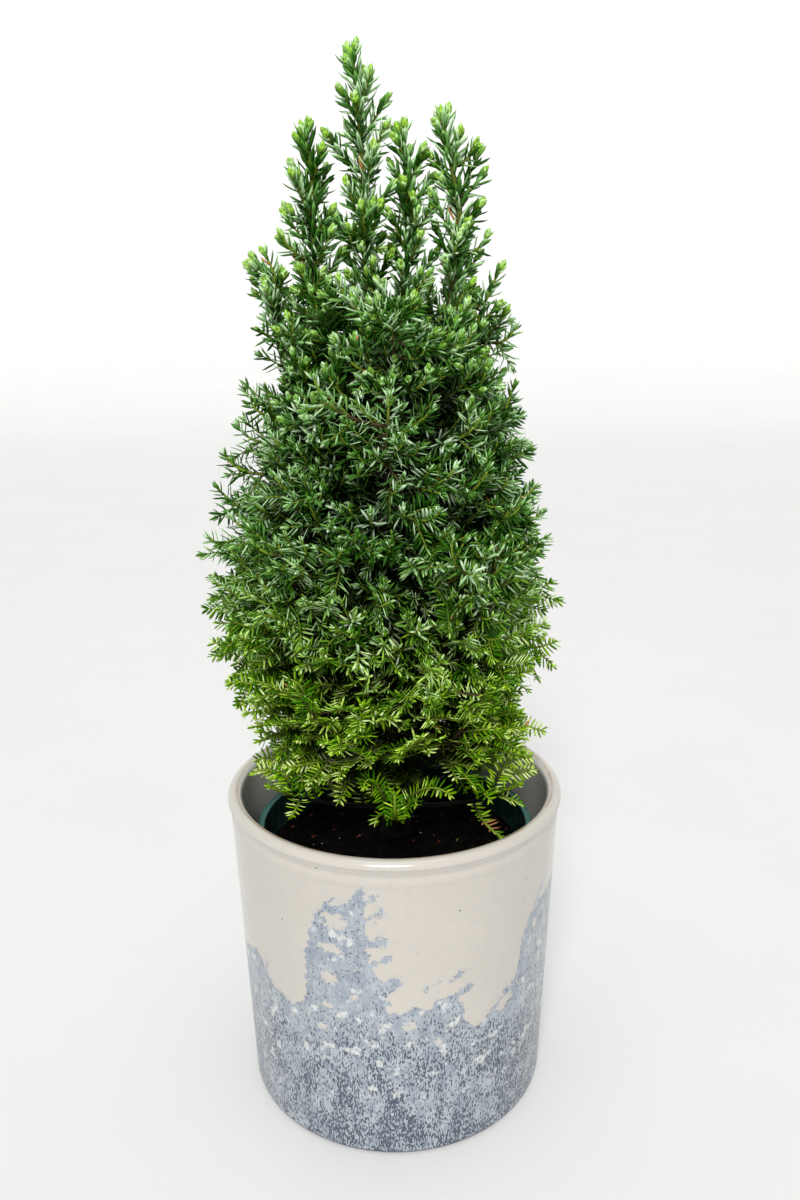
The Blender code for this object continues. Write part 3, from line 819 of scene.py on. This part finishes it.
def grow_limb(growth, points):
    """The leafy end of a limb that isn't a leader."""
    z = points[-1][2]
    outward = unit(np.array([points[-1][0], points[-1][1], 0.0]))
    habit = Habit(z, is_flat(z))
    first, end = (-16, points[-2]) if z < 300 * MM else (-28, points[-7])
    if growth.name.startswith("skirt"):
        habit.gap = NO_SIDE_SHOOTS
        end = points[-5]
        if at_the_front(points):
            first, end = -24, points[-15] + 12 * MM * UP
    normal = square_to(unit(points[-1] - points[-2]), outward + UP)
    branch(growth, (points[first], points[first // 2], end), normal, 0.8 * MM, habit, 0.05)


def grow_tree():
    bodies = frame["record"]["behaviour"]["bodies"]
    body_of = {node: body for body, members in bodies.items() for node in members}
    names = sorted(n[:-len("_stem")] for n in frame["nodes"] if n.endswith("_stem"))
    lines = {name: stem_line(f"{name}_stem") for name in names}
    growths = {name: Growth(name, body_of[f"{name}_stem"]) for name in names}
    wood = {}
    for number, name in enumerate(names):
        reseed(100 + number)
        leads = name.endswith("leader")
        points, radii = lean_leader(name, lines[name]) if leads else lines[name]
        last = wood_end(name, points)
        wood[name] = points[:last]
        share = np.linspace(0, 1, len(points))[:last]
        slim = radii[:last] * (1 - 0.45 * share)
        growths[name].tubes.append((wood[name], slim, np.clip((share - 0.7) * 2.5, 0, 0.7), 8))
        if leads:
            grow_leader(growths[name], points)
        else:
            grow_limb(growths[name], points)
    # Twigs among the leaders grow from a leader and move with it, and all others grow from a limb.
    leaders = {name: points[:-3] for name, points in wood.items() if name.endswith("leader")}
    limbs = {name: points for name, points in wood.items() if name not in leaders}
    reseed(150)
    kinds = (("", crown_targets()), ("accent", ACCENT_TIPS), ("upright", UPRIGHT_TIPS),
             ("bare", BARE_TIPS))
    for kind, (manner, targets) in enumerate(kinds):
        x, y, z = np.abs(targets.T)
        among = (z > 285 * MM) & (y < 19 * MM) & (x < 38 * MM)
        plan = plan_growth(limbs, targets[~among]) + plan_growth(leaders, targets[among])
        for number, (name, origin, target) in enumerate(plan):
            reseed(1000 * (kind + 1) + number)
            grow_twig(growths[name], origin, target, manner)
    skirt = {name: points for name, points in limbs.items() if name.startswith("skirt")}
    for number, (name, origin, target) in enumerate(plan_growth(skirt, DROOPING_TIPS)):
        reseed(6000 + number)
        grow_twig(growths[name], origin, target, "brown" if number == BROWN_SPRIG else "droop")
    needle_mat, twig_mat = needle_material(), twig_material()
    for number, growth in enumerate(growths.values()):
        reseed(200 + number)
        build_growth(growth, needle_mat, twig_mat)


# ---------------------------------------------------------------- trunk and roots

def make_trunk(bark):
    points = node_points("trunk")
    heights = np.unique(np.round(points[:, 2], 5))
    rings = [points[np.abs(points[:, 2] - z) < 2e-5] for z in heights]
    middles = np.array([ring.mean(0) for ring in rings])
    radii = np.array([np.linalg.norm((ring - middle)[:, :2], axis=1).mean()
                      for ring, middle in zip(rings, middles)])
    z = np.linspace(heights[0], heights[-1], 110)
    x, y, r = (np.interp(z, heights, v) for v in (middles[:, 0], middles[:, 1], radii))
    turns = np.linspace(0, 2 * np.pi, 22, endpoint=False)
    # Ridges that wind round the trunk: depth, how many, how fast they wind
    ridge = sum(depth * np.sin(many * turns[None] + wind * z[:, None])
                for depth, many, wind in ((0.07, 5, 60), (0.05, 9, -95), (0.03, 2, 310)))
    flare = 1 + 0.35 * np.exp(-(z - z[0]) / (6 * MM))
    radius = (r * flare)[:, None] * (1 + ridge)
    grid = np.stack([x[:, None] + radius * np.cos(turns), y[:, None] + radius * np.sin(turns),
                     np.broadcast_to(z[:, None], radius.shape)], -1).reshape(-1, 3)
    ids = np.arange(len(grid)).reshape(len(z), len(turns))
    ends = [ids[0][::-1].tolist(), ids[-1].tolist()]
    trunk = new_piece("trunk_bark", grid.tolist(), ring_quads(*ids.shape) + ends, bark)
    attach(trunk, "plant")
    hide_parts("trunk")


# ---------------------------------------------------------------- pots

POT_HEIGHT = 128.8 * MM
POT_RIM = 67.5 * MM
POT_LIP = 2.9 * MM
POT_TOP = 66.4 * MM
POT_BASE = 61.4 * MM
GROOVE_Z = 122.4 * MM
POT_SEGMENTS = 360             # points round each pot
MM_ROUND_POT = math.radians(1) * 65     # millimetres of the pot's side in one degree

# Upper edge of the blue glaze round the pot: degrees from the front, anticlockwise seen from
# above, and height in mm. It rises in one tall column and dips beside it.
GLAZE_EDGE = (
    (-180, 74), (-160, 84), (-140, 92), (-118, 80), (-100, 64), (-84, 62), (-68, 68), (-58, 73),
    (-54, 71), (-48, 64), (-43, 62), (-38, 59), (-33, 63), (-31.5, 67), (-30, 86), (-28, 98),
    (-25, 105), (-21, 109), (-16, 110), (-12, 113), (-10.5, 116), (-9.5, 112), (-9, 99), (-8, 88),
    (-6, 80), (-5, 70), (-3, 65), (1, 65), (6, 68), (11, 66), (14, 70), (19, 71), (22, 68),
    (23.5, 60), (25, 55), (28, 53), (32, 55), (36, 60), (40, 62), (44, 64), (46, 69), (47.5, 82),
    (51, 90), (58, 93), (67, 95), (84, 98), (100, 88), (118, 70), (140, 66), (160, 70), (180, 74),
)
# Arms and flecks of blue beyond that edge: both ends (degrees, mm) and thickness in mm
GLAZE_ARMS = (
    (-11, 104, -4, 108.5, 2.6), (-10, 94, -3.4, 96.5, 2.6), (-8, 86, -2.2, 89.6, 2.0),
    (-7, 72, -0.3, 78.5, 4.4), (-6, 66, -3, 70, 3.0), (17, 68, 25, 73, 2.6), (10, 75, 14, 77.8, 1.1),
    (14, 77.8, 18.5, 78, 1.5), (19.2, 78.4, 23, 80.2, 1.2), (35, 62, 44, 65, 1.6),
    (-7.2, 113.6, -6.6, 114.6, 1.2), (-51, 69, -50, 71.5, 0.9), (-14, 112, -10, 117, 1.6),
    (-23, 108, -19, 112.6, 1.4), (51, 88, 60, 99, 2.0),
)
# Cream that shows through the blue: middle (degrees, mm) and half widths in mm
GLAZE_HOLES = (
    (-20, 103, 5.0, 3.4), (-21, 91, 3.2, 2.0), (-23, 66, 2.2, 1.6), (-22.5, 78, 2.6, 1.8),
    (56, 83, 2.0, 4.6), (41, 59.5, 3.2, 1.9), (38.5, 57, 2.4, 1.6), (-6.5, 92, 2.2, 1.6),
    (-14, 71, 1.6, 1.2), (14, 51, 1.8, 1.5), (-26, 55, 1.6, 1.2), (5, 60, 2.2, 1.4),
    (-12, 84, 1.5, 1.0), (62, 66, 1.6, 2.2),
)


def pot_wall(z):
    """Outer radius of the cover pot's side at a height."""
    return POT_BASE + (POT_TOP - POT_BASE) * z / GROOVE_Z


def beyond_glaze(turn, height):
    """Distance in mm from the blue glaze's edge, positive on the cream side."""
    edge = np.array(GLAZE_EDGE, float)
    dense = np.linspace(-180, 180, 1441)
    line = np.stack([dense * MM_ROUND_POT, np.interp(dense, edge[:, 0], edge[:, 1])], 1)
    place = np.stack([turn * MM_ROUND_POT, height], 1)
    over = np.empty(len(place))
    for part in np.array_split(np.arange(len(place)), 40):
        gap = np.linalg.norm(place[part, None] - line[None], axis=2).min(1)
        over[part] = np.where(height[part] > np.interp(turn[part], edge[:, 0], edge[:, 1]), gap, -gap)
    for a_turn, a_z, b_turn, b_z, thick in GLAZE_ARMS:
        a, b = np.array([a_turn * MM_ROUND_POT, a_z]), np.array([b_turn * MM_ROUND_POT, b_z])
        share = np.clip((place - a) @ (b - a) / np.sum((b - a) ** 2), 0, 1)
        gap = np.linalg.norm(place - a - share[:, None] * (b - a), axis=1) - thick / 2
        over = np.minimum(over, gap)
    for h_turn, h_z, wide, tall in GLAZE_HOLES:
        away = np.hypot((place[:, 0] - h_turn * MM_ROUND_POT) / wide, (place[:, 1] - h_z) / tall)
        over = np.maximum(over, (1 - away) * min(wide, tall))
    return over


def cover_pot_material():
    """Cream glaze over the body; pot_map is (distance beyond the blue glaze, height, inside)."""
    n = Nodes("reactive_glaze", 0.2)
    over, height, inside = n.three("pot_map")
    spot = n.place()
    tall = n.place((1, 1, 0.6))
    # Ragged edge: the blue glaze ends where the warped distance passes zero.
    warp = 0.0
    for scale, reach in ((0.12, 5.0), (0.42, 6.5), (1.3, 3.2)):
        swing = n.math("SUBTRACT", n.noise(spot, scale, 3.0, 0.6), 0.5)
        warp = n.math("ADD", warp, n.times(swing, reach))
    line = n.math("ADD", over, warp)
    blue = n.ramp(line, 0.35, -0.45)
    rim = n.times(n.ramp(line, -1.8, -0.5), n.ramp(line, 0.2, -0.4))
    # Mottled blue-grey, with pale round blotches and a darker rim.
    cloud = n.noise(tall, 0.24, 4.0, 0.62)
    grain = n.noise(n.place((1, 1, 0.4)), 0.95, 4.0, 0.65)
    tint = n.mix(n.ramp(cloud, 0.34, 0.62), srgb(139, 147, 157), srgb(170, 176, 180))
    tint = n.mix(n.ramp(grain, 0.40, 0.64, 0.0, 0.5), tint, srgb(134, 144, 156))
    blotch = n.times(n.ramp(n.noise(spot, 0.2, 2.0, 0.5), 0.58, 0.70), n.ramp(height, 12, 34))
    tint = n.mix(n.times(blotch, 0.75), tint, srgb(212, 212, 208))
    tint = n.mix(n.times(rim, 0.5), tint, srgb(136, 147, 163))
    # Dark dashes, closer together towards the foot.
    low = n.ramp(height, 96.0, 10.0)
    patch = n.noise(tall, 0.11, 3.0, 0.6)
    amount = n.times(n.ramp(low, 0.0, 1.0, 0.2, 0.62), n.ramp(patch, 0.34, 0.6, 0.55, 1.05))
    dash = n.noise(n.place((1, 1, 0.38)), 1.8, 1.0, 0.5, 0.2)
    limit = n.math("SUBTRACT", 0.72, n.times(amount, 0.42))
    dashes = n.ramp(dash, limit, n.math("ADD", limit, 0.03))
    dashes = n.times(dashes, n.math("SUBTRACT", 1.0, n.times(blotch, 0.7)))
    tint = n.mix(n.times(dashes, 0.92), tint, srgb(50, 60, 78))
    # Cream, slightly uneven, with a few pinholes.
    cream = n.mix(n.noise(spot, 0.035, 3.0), srgb(194, 188, 179), srgb(187, 181, 172))
    cream = n.mix(n.ramp(n.noise(spot, 0.3, 4.0, 0.6), 0.45, 0.75, 0.0, 0.25), cream, srgb(176, 172, 168))
    pin = n.cells(spot, 0.075)
    cream = n.mix(n.ramp(pin, 0.035, 0.02), cream, srgb(70, 60, 52))
    colour = n.mix(blue, cream, tint)
    # Worn brown line along the lip's inner edge, navy line at the foot, and a grey inside that is darker
    # than the cream as painted shade.
    lip = n.ramp(height, 127.6, 128.4)
    worn = n.ramp(n.noise(spot, 0.06, 3.0, 0.5), 0.35, 0.65, 0.25, 0.85)
    crest = n.times(lip, n.times(n.ramp(inside, 0.10, 0.3), n.ramp(inside, 0.75, 0.5)))
    colour = n.mix(n.times(crest, worn), colour, srgb(146, 118, 88))
    colour = n.mix(n.ramp(height, 1.9, 1.0), colour, srgb(34, 38, 60))
    # Painted shade: the inside of the pot is a darker grey copy of the cream.
    colour = n.mix(n.ramp(inside, 0.75, 1.0), colour, srgb(178, 177, 170))
    pit = n.noise(spot, 0.5, 3.0)
    n.bump(n.math("ADD", n.times(dashes, n.times(blue, -0.5)), pit), 0.12, 0.0004)
    n.shader.inputs["Coat Weight"].default_value = 0.35
    n.shader.inputs["Coat Roughness"].default_value = 0.08
    return n.finish(colour, n.ramp(blue, 0.0, 1.0, 0.2, 0.34))


def make_cover_pot():
    lip = (POT_RIM - POT_LIP, POT_HEIGHT - POT_LIP)
    edge = (pot_wall(2 * MM) - 2 * MM, 2 * MM)
    profile = [(0.1 * MM, 1.5 * MM), (30 * MM, 1.5 * MM), (50.4 * MM, 1.5 * MM), (51.4 * MM, 0.6 * MM),
               (52.2 * MM, 0.0), (57 * MM, 0.0)]
    profile += arc(edge, 2 * MM, -90, 0, 8)
    profile += [(pot_wall(z * MM), z * MM) for z in np.arange(3.2, 119, 1.2)]
    for z in np.linspace(119.2, 125.2, 16):
        dent = 0.36 * MM * math.exp(-(((z * MM - GROOVE_Z) / (1.4 * MM)) ** 2))
        swell = max(0.0, (z - 122.4) / 3.2) ** 1.5 * 0.55 * MM
        profile.append((POT_TOP - dent + swell, z * MM))
    inside_from = len(profile) + 7       # a point a third of the way over the lip
    profile += arc(lip, POT_LIP, 0, 180, 20)
    inner_top = POT_RIM - 2 * POT_LIP
    profile += [(inner_top + (57.2 * MM - inner_top) * s, lip[1] + (10 * MM - lip[1]) * s)
                for s in np.linspace(0.02, 1, 24)]
    profile += arc((54 * MM, 10 * MM), 3 * MM, 0, -90, 6)
    profile += [(40 * MM, 7 * MM), (20 * MM, 7 * MM), (0.1 * MM, 7 * MM)]

    def wobble(turn, height):
        return 0.0012 * np.sin(2 * turn + 1.1) + 0.0007 * np.sin(3 * turn + height * 40)

    pot = turned("cover_pot_glazed", profile, cover_pot_material(), wobble)
    points = np.zeros(len(pot.data.vertices) * 3, np.float32)
    pot.data.vertices.foreach_get("co", points)
    points = points.reshape(-1, 3)
    turn = np.degrees(np.arctan2(points[:, 0], -points[:, 1]))
    height = points[:, 2] / MM
    radius = np.hypot(points[:, 0], points[:, 1])
    inside = np.clip((POT_RIM - POT_LIP + 0.4 * MM - radius) / (2.6 * MM), 0, 1)
    inside[:inside_from * POT_SEGMENTS] = 0
    over = np.where(inside > 0.3, 60, beyond_glaze(turn, height))
    paint(pot, "pot_map", np.stack([over, height, inside], 1))
    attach(pot, "cover_pot")
    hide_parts("cover_pot")


def grow_pot_material():
    n = Nodes("nursery_plastic", 0.42)
    scuff = n.noise(n.place((1, 1, 0.3)), 0.5, 5.0, 0.65)
    colour = n.mix(n.ramp(scuff, 0.35, 0.7), srgb(8, 32, 28), srgb(16, 50, 45))
    colour = n.mix(n.ramp(n.height(), 109.8, 110.8), colour, srgb(44, 96, 88))
    dust = n.noise(n.place(), 0.22, 4.0, 0.6)
    colour = n.mix(n.ramp(dust, 0.55, 0.75, 0.0, 0.4), colour, srgb(60, 52, 42))
    n.bump(scuff, 0.15, 0.0003)
    return n.finish(colour, n.ramp(scuff, 0.3, 0.7, 0.36, 0.52))


def make_grow_pot():
    base, floor = 7.35 * MM, 9.35 * MM
    collar_z, rim_z, wall = 95 * MM, 111 * MM, 1.1 * MM
    collar, below, foot = 54.9 * MM, 53.3 * MM, 43.5 * MM
    profile = [(0.1 * MM, floor), (38 * MM, floor), (39.5 * MM, base), (foot, base)]
    profile += [(foot + (below - foot) * s, base + (collar_z - base) * s)
                for s in np.linspace(0.03, 1, 24)]
    profile += [(collar, collar_z + 1.5 * MM)]
    profile += [(collar, z * MM) for z in np.linspace(98, 108.6, 8)]
    profile += [(56.0 * MM, 109.0 * MM), (56.5 * MM, 109.3 * MM), (56.5 * MM, 110.4 * MM),
                (56.3 * MM, 110.8 * MM), (55.9 * MM, rim_z), (54.2 * MM, rim_z),
                (collar - wall, 110.6 * MM)]
    profile += [(collar - wall, z * MM) for z in np.linspace(110, 96.5, 10)]
    profile += [(below - wall, collar_z)]
    profile += [(below - wall + (foot - below) * s, collar_z + (10.5 * MM - collar_z) * s)
                for s in np.linspace(0.05, 1, 14)]
    profile += [(20 * MM, 10.45 * MM), (0.1 * MM, 10.45 * MM)]

    def ribs(turn, height):
        band = np.exp(-(((height - 103 * MM) / (4.6 * MM)) ** 4))
        return 0.004 * band * np.clip(np.sin(turn * 60), 0, 1) ** 2

    pot = turned("grow_pot_plastic", profile, grow_pot_material(), ribs)
    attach(pot, "grow_pot")
    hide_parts("grow_pot")


# ---------------------------------------------------------------- potting mix

def value_noise(points, size, seed):
    """Smooth noise from -1 to 1 on a lattice of that size."""
    table = np.random.default_rng(seed).uniform(-1, 1, 4096)
    cell = np.floor(points / size).astype(np.int64)
    local = points / size - cell
    local = local * local * (3 - 2 * local)
    total = np.zeros(len(points))
    for corner in range(8):
        offset = np.array([corner & 1, corner >> 1 & 1, corner >> 2 & 1])
        key = (cell + offset) @ np.array([73856093, 19349663, 83492791])
        weight = np.prod(np.where(offset, local, 1 - local), axis=1)
        total += weight * table[np.mod(key, 4096)]
    return total


def soil_material():
    n = Nodes("potting_mix", 0.92, 0.05)
    spot = n.place()
    crumb = n.noise(spot, 0.9, 6.0, 0.7)
    lump = n.cells(spot, 0.5)
    # The potting mix is painted almost black: partly its own dark colour, partly painted shade from the
    # crown above it.
    colour = n.mix(n.ramp(crumb, 0.3, 0.72), srgb(2, 1, 1), srgb(9, 6, 5))
    fleck = n.cells(n.place((1.3, 0.8, 1)), 0.62)
    colour = n.mix(n.ramp(fleck, 0.10, 0.05), colour, srgb(50, 28, 18))
    n.bump(n.math("ADD", crumb, n.times(lump, 0.5)), 1.0, 0.0016)
    return n.finish(colour)


def soil_height(x, y):
    """Height of the potting mix: heaped round the trunk, lower at the pot's side, and lumpy."""
    profile = np.array([(0, 104.3), (8, 104.0), (13, 101.5), (20, 100.4), (38, 98.9), (53, 98.3)]) * MM
    height = np.interp(np.hypot(x, y), profile[:, 0], profile[:, 1])
    spot = np.stack([x, y, np.zeros_like(x)], 1)
    for tall, wide, seed in ((0.9, 7, 5), (0.55, 2.6, 6), (0.3, 1.1, 7)):
        height = height + tall * MM * value_noise(spot, wide * MM, seed)
    return height


def make_soil():
    """The root ball: floor, side and top of the potting mix as rings round the axis."""
    segments = 220
    turns = np.linspace(0, 2 * np.pi, segments, endpoint=False)
    outline = [(11.2, 0.4), (11.2, 20), (11.2, 41.5), (12.2, 42.6)]
    outline += [(z, 42.6 + (51.4 - 42.6) * (z - 12.2) / 82.8) for z in np.linspace(16, 95, 34)]
    outline += [(96, 52.2), (97.3, 52.4)]
    rings = []
    for z, r in outline:
        ring = np.stack([r * MM * np.cos(turns), r * MM * np.sin(turns), np.full(segments, z * MM)], 1)
        if 13 < z < 96:
            lumps = value_noise(ring, 5 * MM, 8) * 0.35 * MM
            ring[:, :2] *= (1 - np.abs(lumps) / (r * MM))[:, None]
        rings.append(ring)
    for r in np.linspace(52.2, 0.4, 74) * MM:
        x, y = r * np.cos(turns), r * np.sin(turns)
        rings.append(np.stack([x, y, soil_height(x, y)], 1))
    quads = ring_quads(len(rings), segments)
    soil = new_piece("potting_mix_ball", np.concatenate(rings).tolist(), quads, soil_material())
    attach(soil, "plant")
    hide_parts("potting_mix")


def bits_material(name, dark, light, roughness):
    n = Nodes(name, roughness, 0.05)
    grain = n.noise(n.place(), 1.4, 4.0, 0.6)
    n.bump(grain, 0.6, 0.0004)
    return n.finish(n.mix(grain, dark, light))


def rotation(axis, angle):
    """The matrix of a turn about X (0), Y (1) or Z (2)."""
    a, b = (axis + 1) % 3, (axis + 2) % 3
    matrix = np.eye(3)
    matrix[a, a] = matrix[b, b] = math.cos(angle)
    matrix[b, a] = math.sin(angle)
    matrix[a, b] = -math.sin(angle)
    return matrix


def scatter(name, count, size, flatness, material, sink):
    """Small angular bits lying on the potting mix."""
    cube = np.array([(-1, -1, -1), (1, -1, -1), (1, 1, -1), (-1, 1, -1),
                     (-1, -1, 1), (1, -1, 1), (1, 1, 1), (-1, 1, 1)], float) * 0.5
    corners = [(0, 3, 2, 1), (4, 5, 6, 7), (0, 1, 5, 4), (1, 2, 6, 5), (2, 3, 7, 6), (3, 0, 4, 7)]
    vertices, faces = [], []
    reseed(count)
    for i in range(count):
        radius = 50 * MM * math.sqrt(RNG.uniform(0.02, 1))
        turn = RNG.uniform(0, 2 * math.pi)
        x, y = radius * math.cos(turn), radius * math.sin(turn)
        scale = np.array([1.0, RNG.uniform(0.4, 0.8), flatness]) * RNG.uniform(*size) * MM
        shape = cube * scale * RNG.uniform(0.55, 1.15, (8, 3))
        spin, tip, roll = RNG.uniform(0, 6.28), RNG.normal(0, 0.35), RNG.normal(0, 0.35)
        turned_by = rotation(2, spin) @ rotation(0, tip) @ rotation(1, roll)
        z = float(soil_height(np.array([x]), np.array([y]))[0]) + (0.5 - sink) * scale[2]
        vertices += (shape @ turned_by.T + (x, y, z)).tolist()
        faces += [tuple(8 * i + k for k in face) for face in corners]
    piece = new_piece(name, vertices, faces, material, smooth=False)
    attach(piece, "plant")
    return piece


def make_ground_cover():
    # Name, how many, size in mm, flatness, material's name, dark and light colour, roughness, sunk share
    kinds = (
        # The bark chips' near-black is partly their own colour and partly painted shade from the crown
        # above.
        ("bark_chips", 260, (1.8, 5.5), 0.35, "bark_chip", srgb(3, 2, 2), srgb(13, 9, 7), 0.9, 0.25),
        ("perlite_grit", 26, (0.5, 1.3), 0.7, "perlite", srgb(90, 86, 76), srgb(170, 166, 154), 0.8, 0.5),
        ("red_brown_crumbs", 70, (0.7, 1.9), 0.6, "crumb", srgb(44, 20, 12), srgb(104, 56, 34), 0.8, 0.3),
        ("fallen_leaf_bits", 7, (1.2, 2.6), 0.18, "leaf_bit", srgb(74, 104, 44), srgb(142, 164, 74), 0.6,
         0.1),
    )
    for name, count, size, flatness, material_name, dark, light, roughness, sink in kinds:
        material = bits_material(material_name, dark, light, roughness)
        scatter(name, count, size, flatness, material, sink)


# ---------------------------------------------------------------- studio

CAMERA_PLACE = (0.00289, -0.3704, 0.3063)
CAMERA_PITCH = math.radians(74.64)
CAMERA_ROLL = math.radians(-0.52)
CAMERA_LENS = 29.54


def make_studio():
    """A plain pale floor that sweeps up behind, an even pale sky, a sun and a softbox overhead."""
    scene = bpy.context.scene
    n = Nodes("studio_floor", 0.6)
    cloud = n.noise(n.place(), 0.006, 4.0, 0.6)
    n.finish(n.mix(cloud, srgb(214, 214, 212), srgb(220, 220, 218)))
    sweep = [(-6, 0), (-1, 0), (0, 0), (1, 0), (2.4, 0)]
    sweep += [(2.4 + 2 * math.sin(a), 2 - 2 * math.cos(a)) for a in np.linspace(0.1, math.pi / 2, 16)]
    sweep += [(4.4, 6)]
    vertices = [(x, y, z) for y, z in sweep for x in (-9, 0, 9)]
    faces = [(3 * i + j, 3 * i + j + 1, 3 * i + j + 4, 3 * i + j + 3)
             for i in range(len(sweep) - 1) for j in (0, 1)]
    new_piece("studio_floor", vertices, faces, n.material)

    world = bpy.data.worlds.new("studio")
    world.use_nodes = True
    sky = world.node_tree.nodes["Background"]
    sky.inputs[0].default_value = (0.97, 0.985, 1.0, 1)
    sky.inputs[1].default_value = 0.45
    scene.world = world

    sun = bpy.data.lights.new("key", "SUN")
    sun.energy = 3.0
    sun.angle = math.radians(20)
    key = in_scene("key", sun)
    key.rotation_euler = (math.radians(48), 0, math.radians(-5))

    box = bpy.data.lights.new("softbox", "AREA")
    box.shape = "RECTANGLE"
    box.size, box.size_y = 0.7, 0.5
    box.energy = 2.4
    softbox = in_scene("softbox", box)
    softbox.location = (0.0, -0.1, 1.3)
    softbox.rotation_euler = (math.atan2(0.1, 1.1), 0, 0)      # aimed at the middle of the plant

    camera_data = bpy.data.cameras.new("camera")
    camera_data.lens = CAMERA_LENS
    camera_data.clip_start, camera_data.clip_end = 0.01, 50
    camera = in_scene("camera", camera_data)
    camera.location = CAMERA_PLACE
    camera.rotation_mode = "QUATERNION"
    pitch = Euler((CAMERA_PITCH, 0, 0)).to_quaternion()
    camera.rotation_quaternion = pitch @ Quaternion((0, 0, 1), CAMERA_ROLL)
    scene.camera = camera
    scene.view_settings.view_transform = "Standard"


make_studio()
make_cover_pot()
make_grow_pot()
make_soil()
make_ground_cover()
bark = bark_material()
make_trunk(bark)
frame["nodes"]["root_system"].data.materials.clear()
frame["nodes"]["root_system"].data.materials.append(bark)
grow_tree()
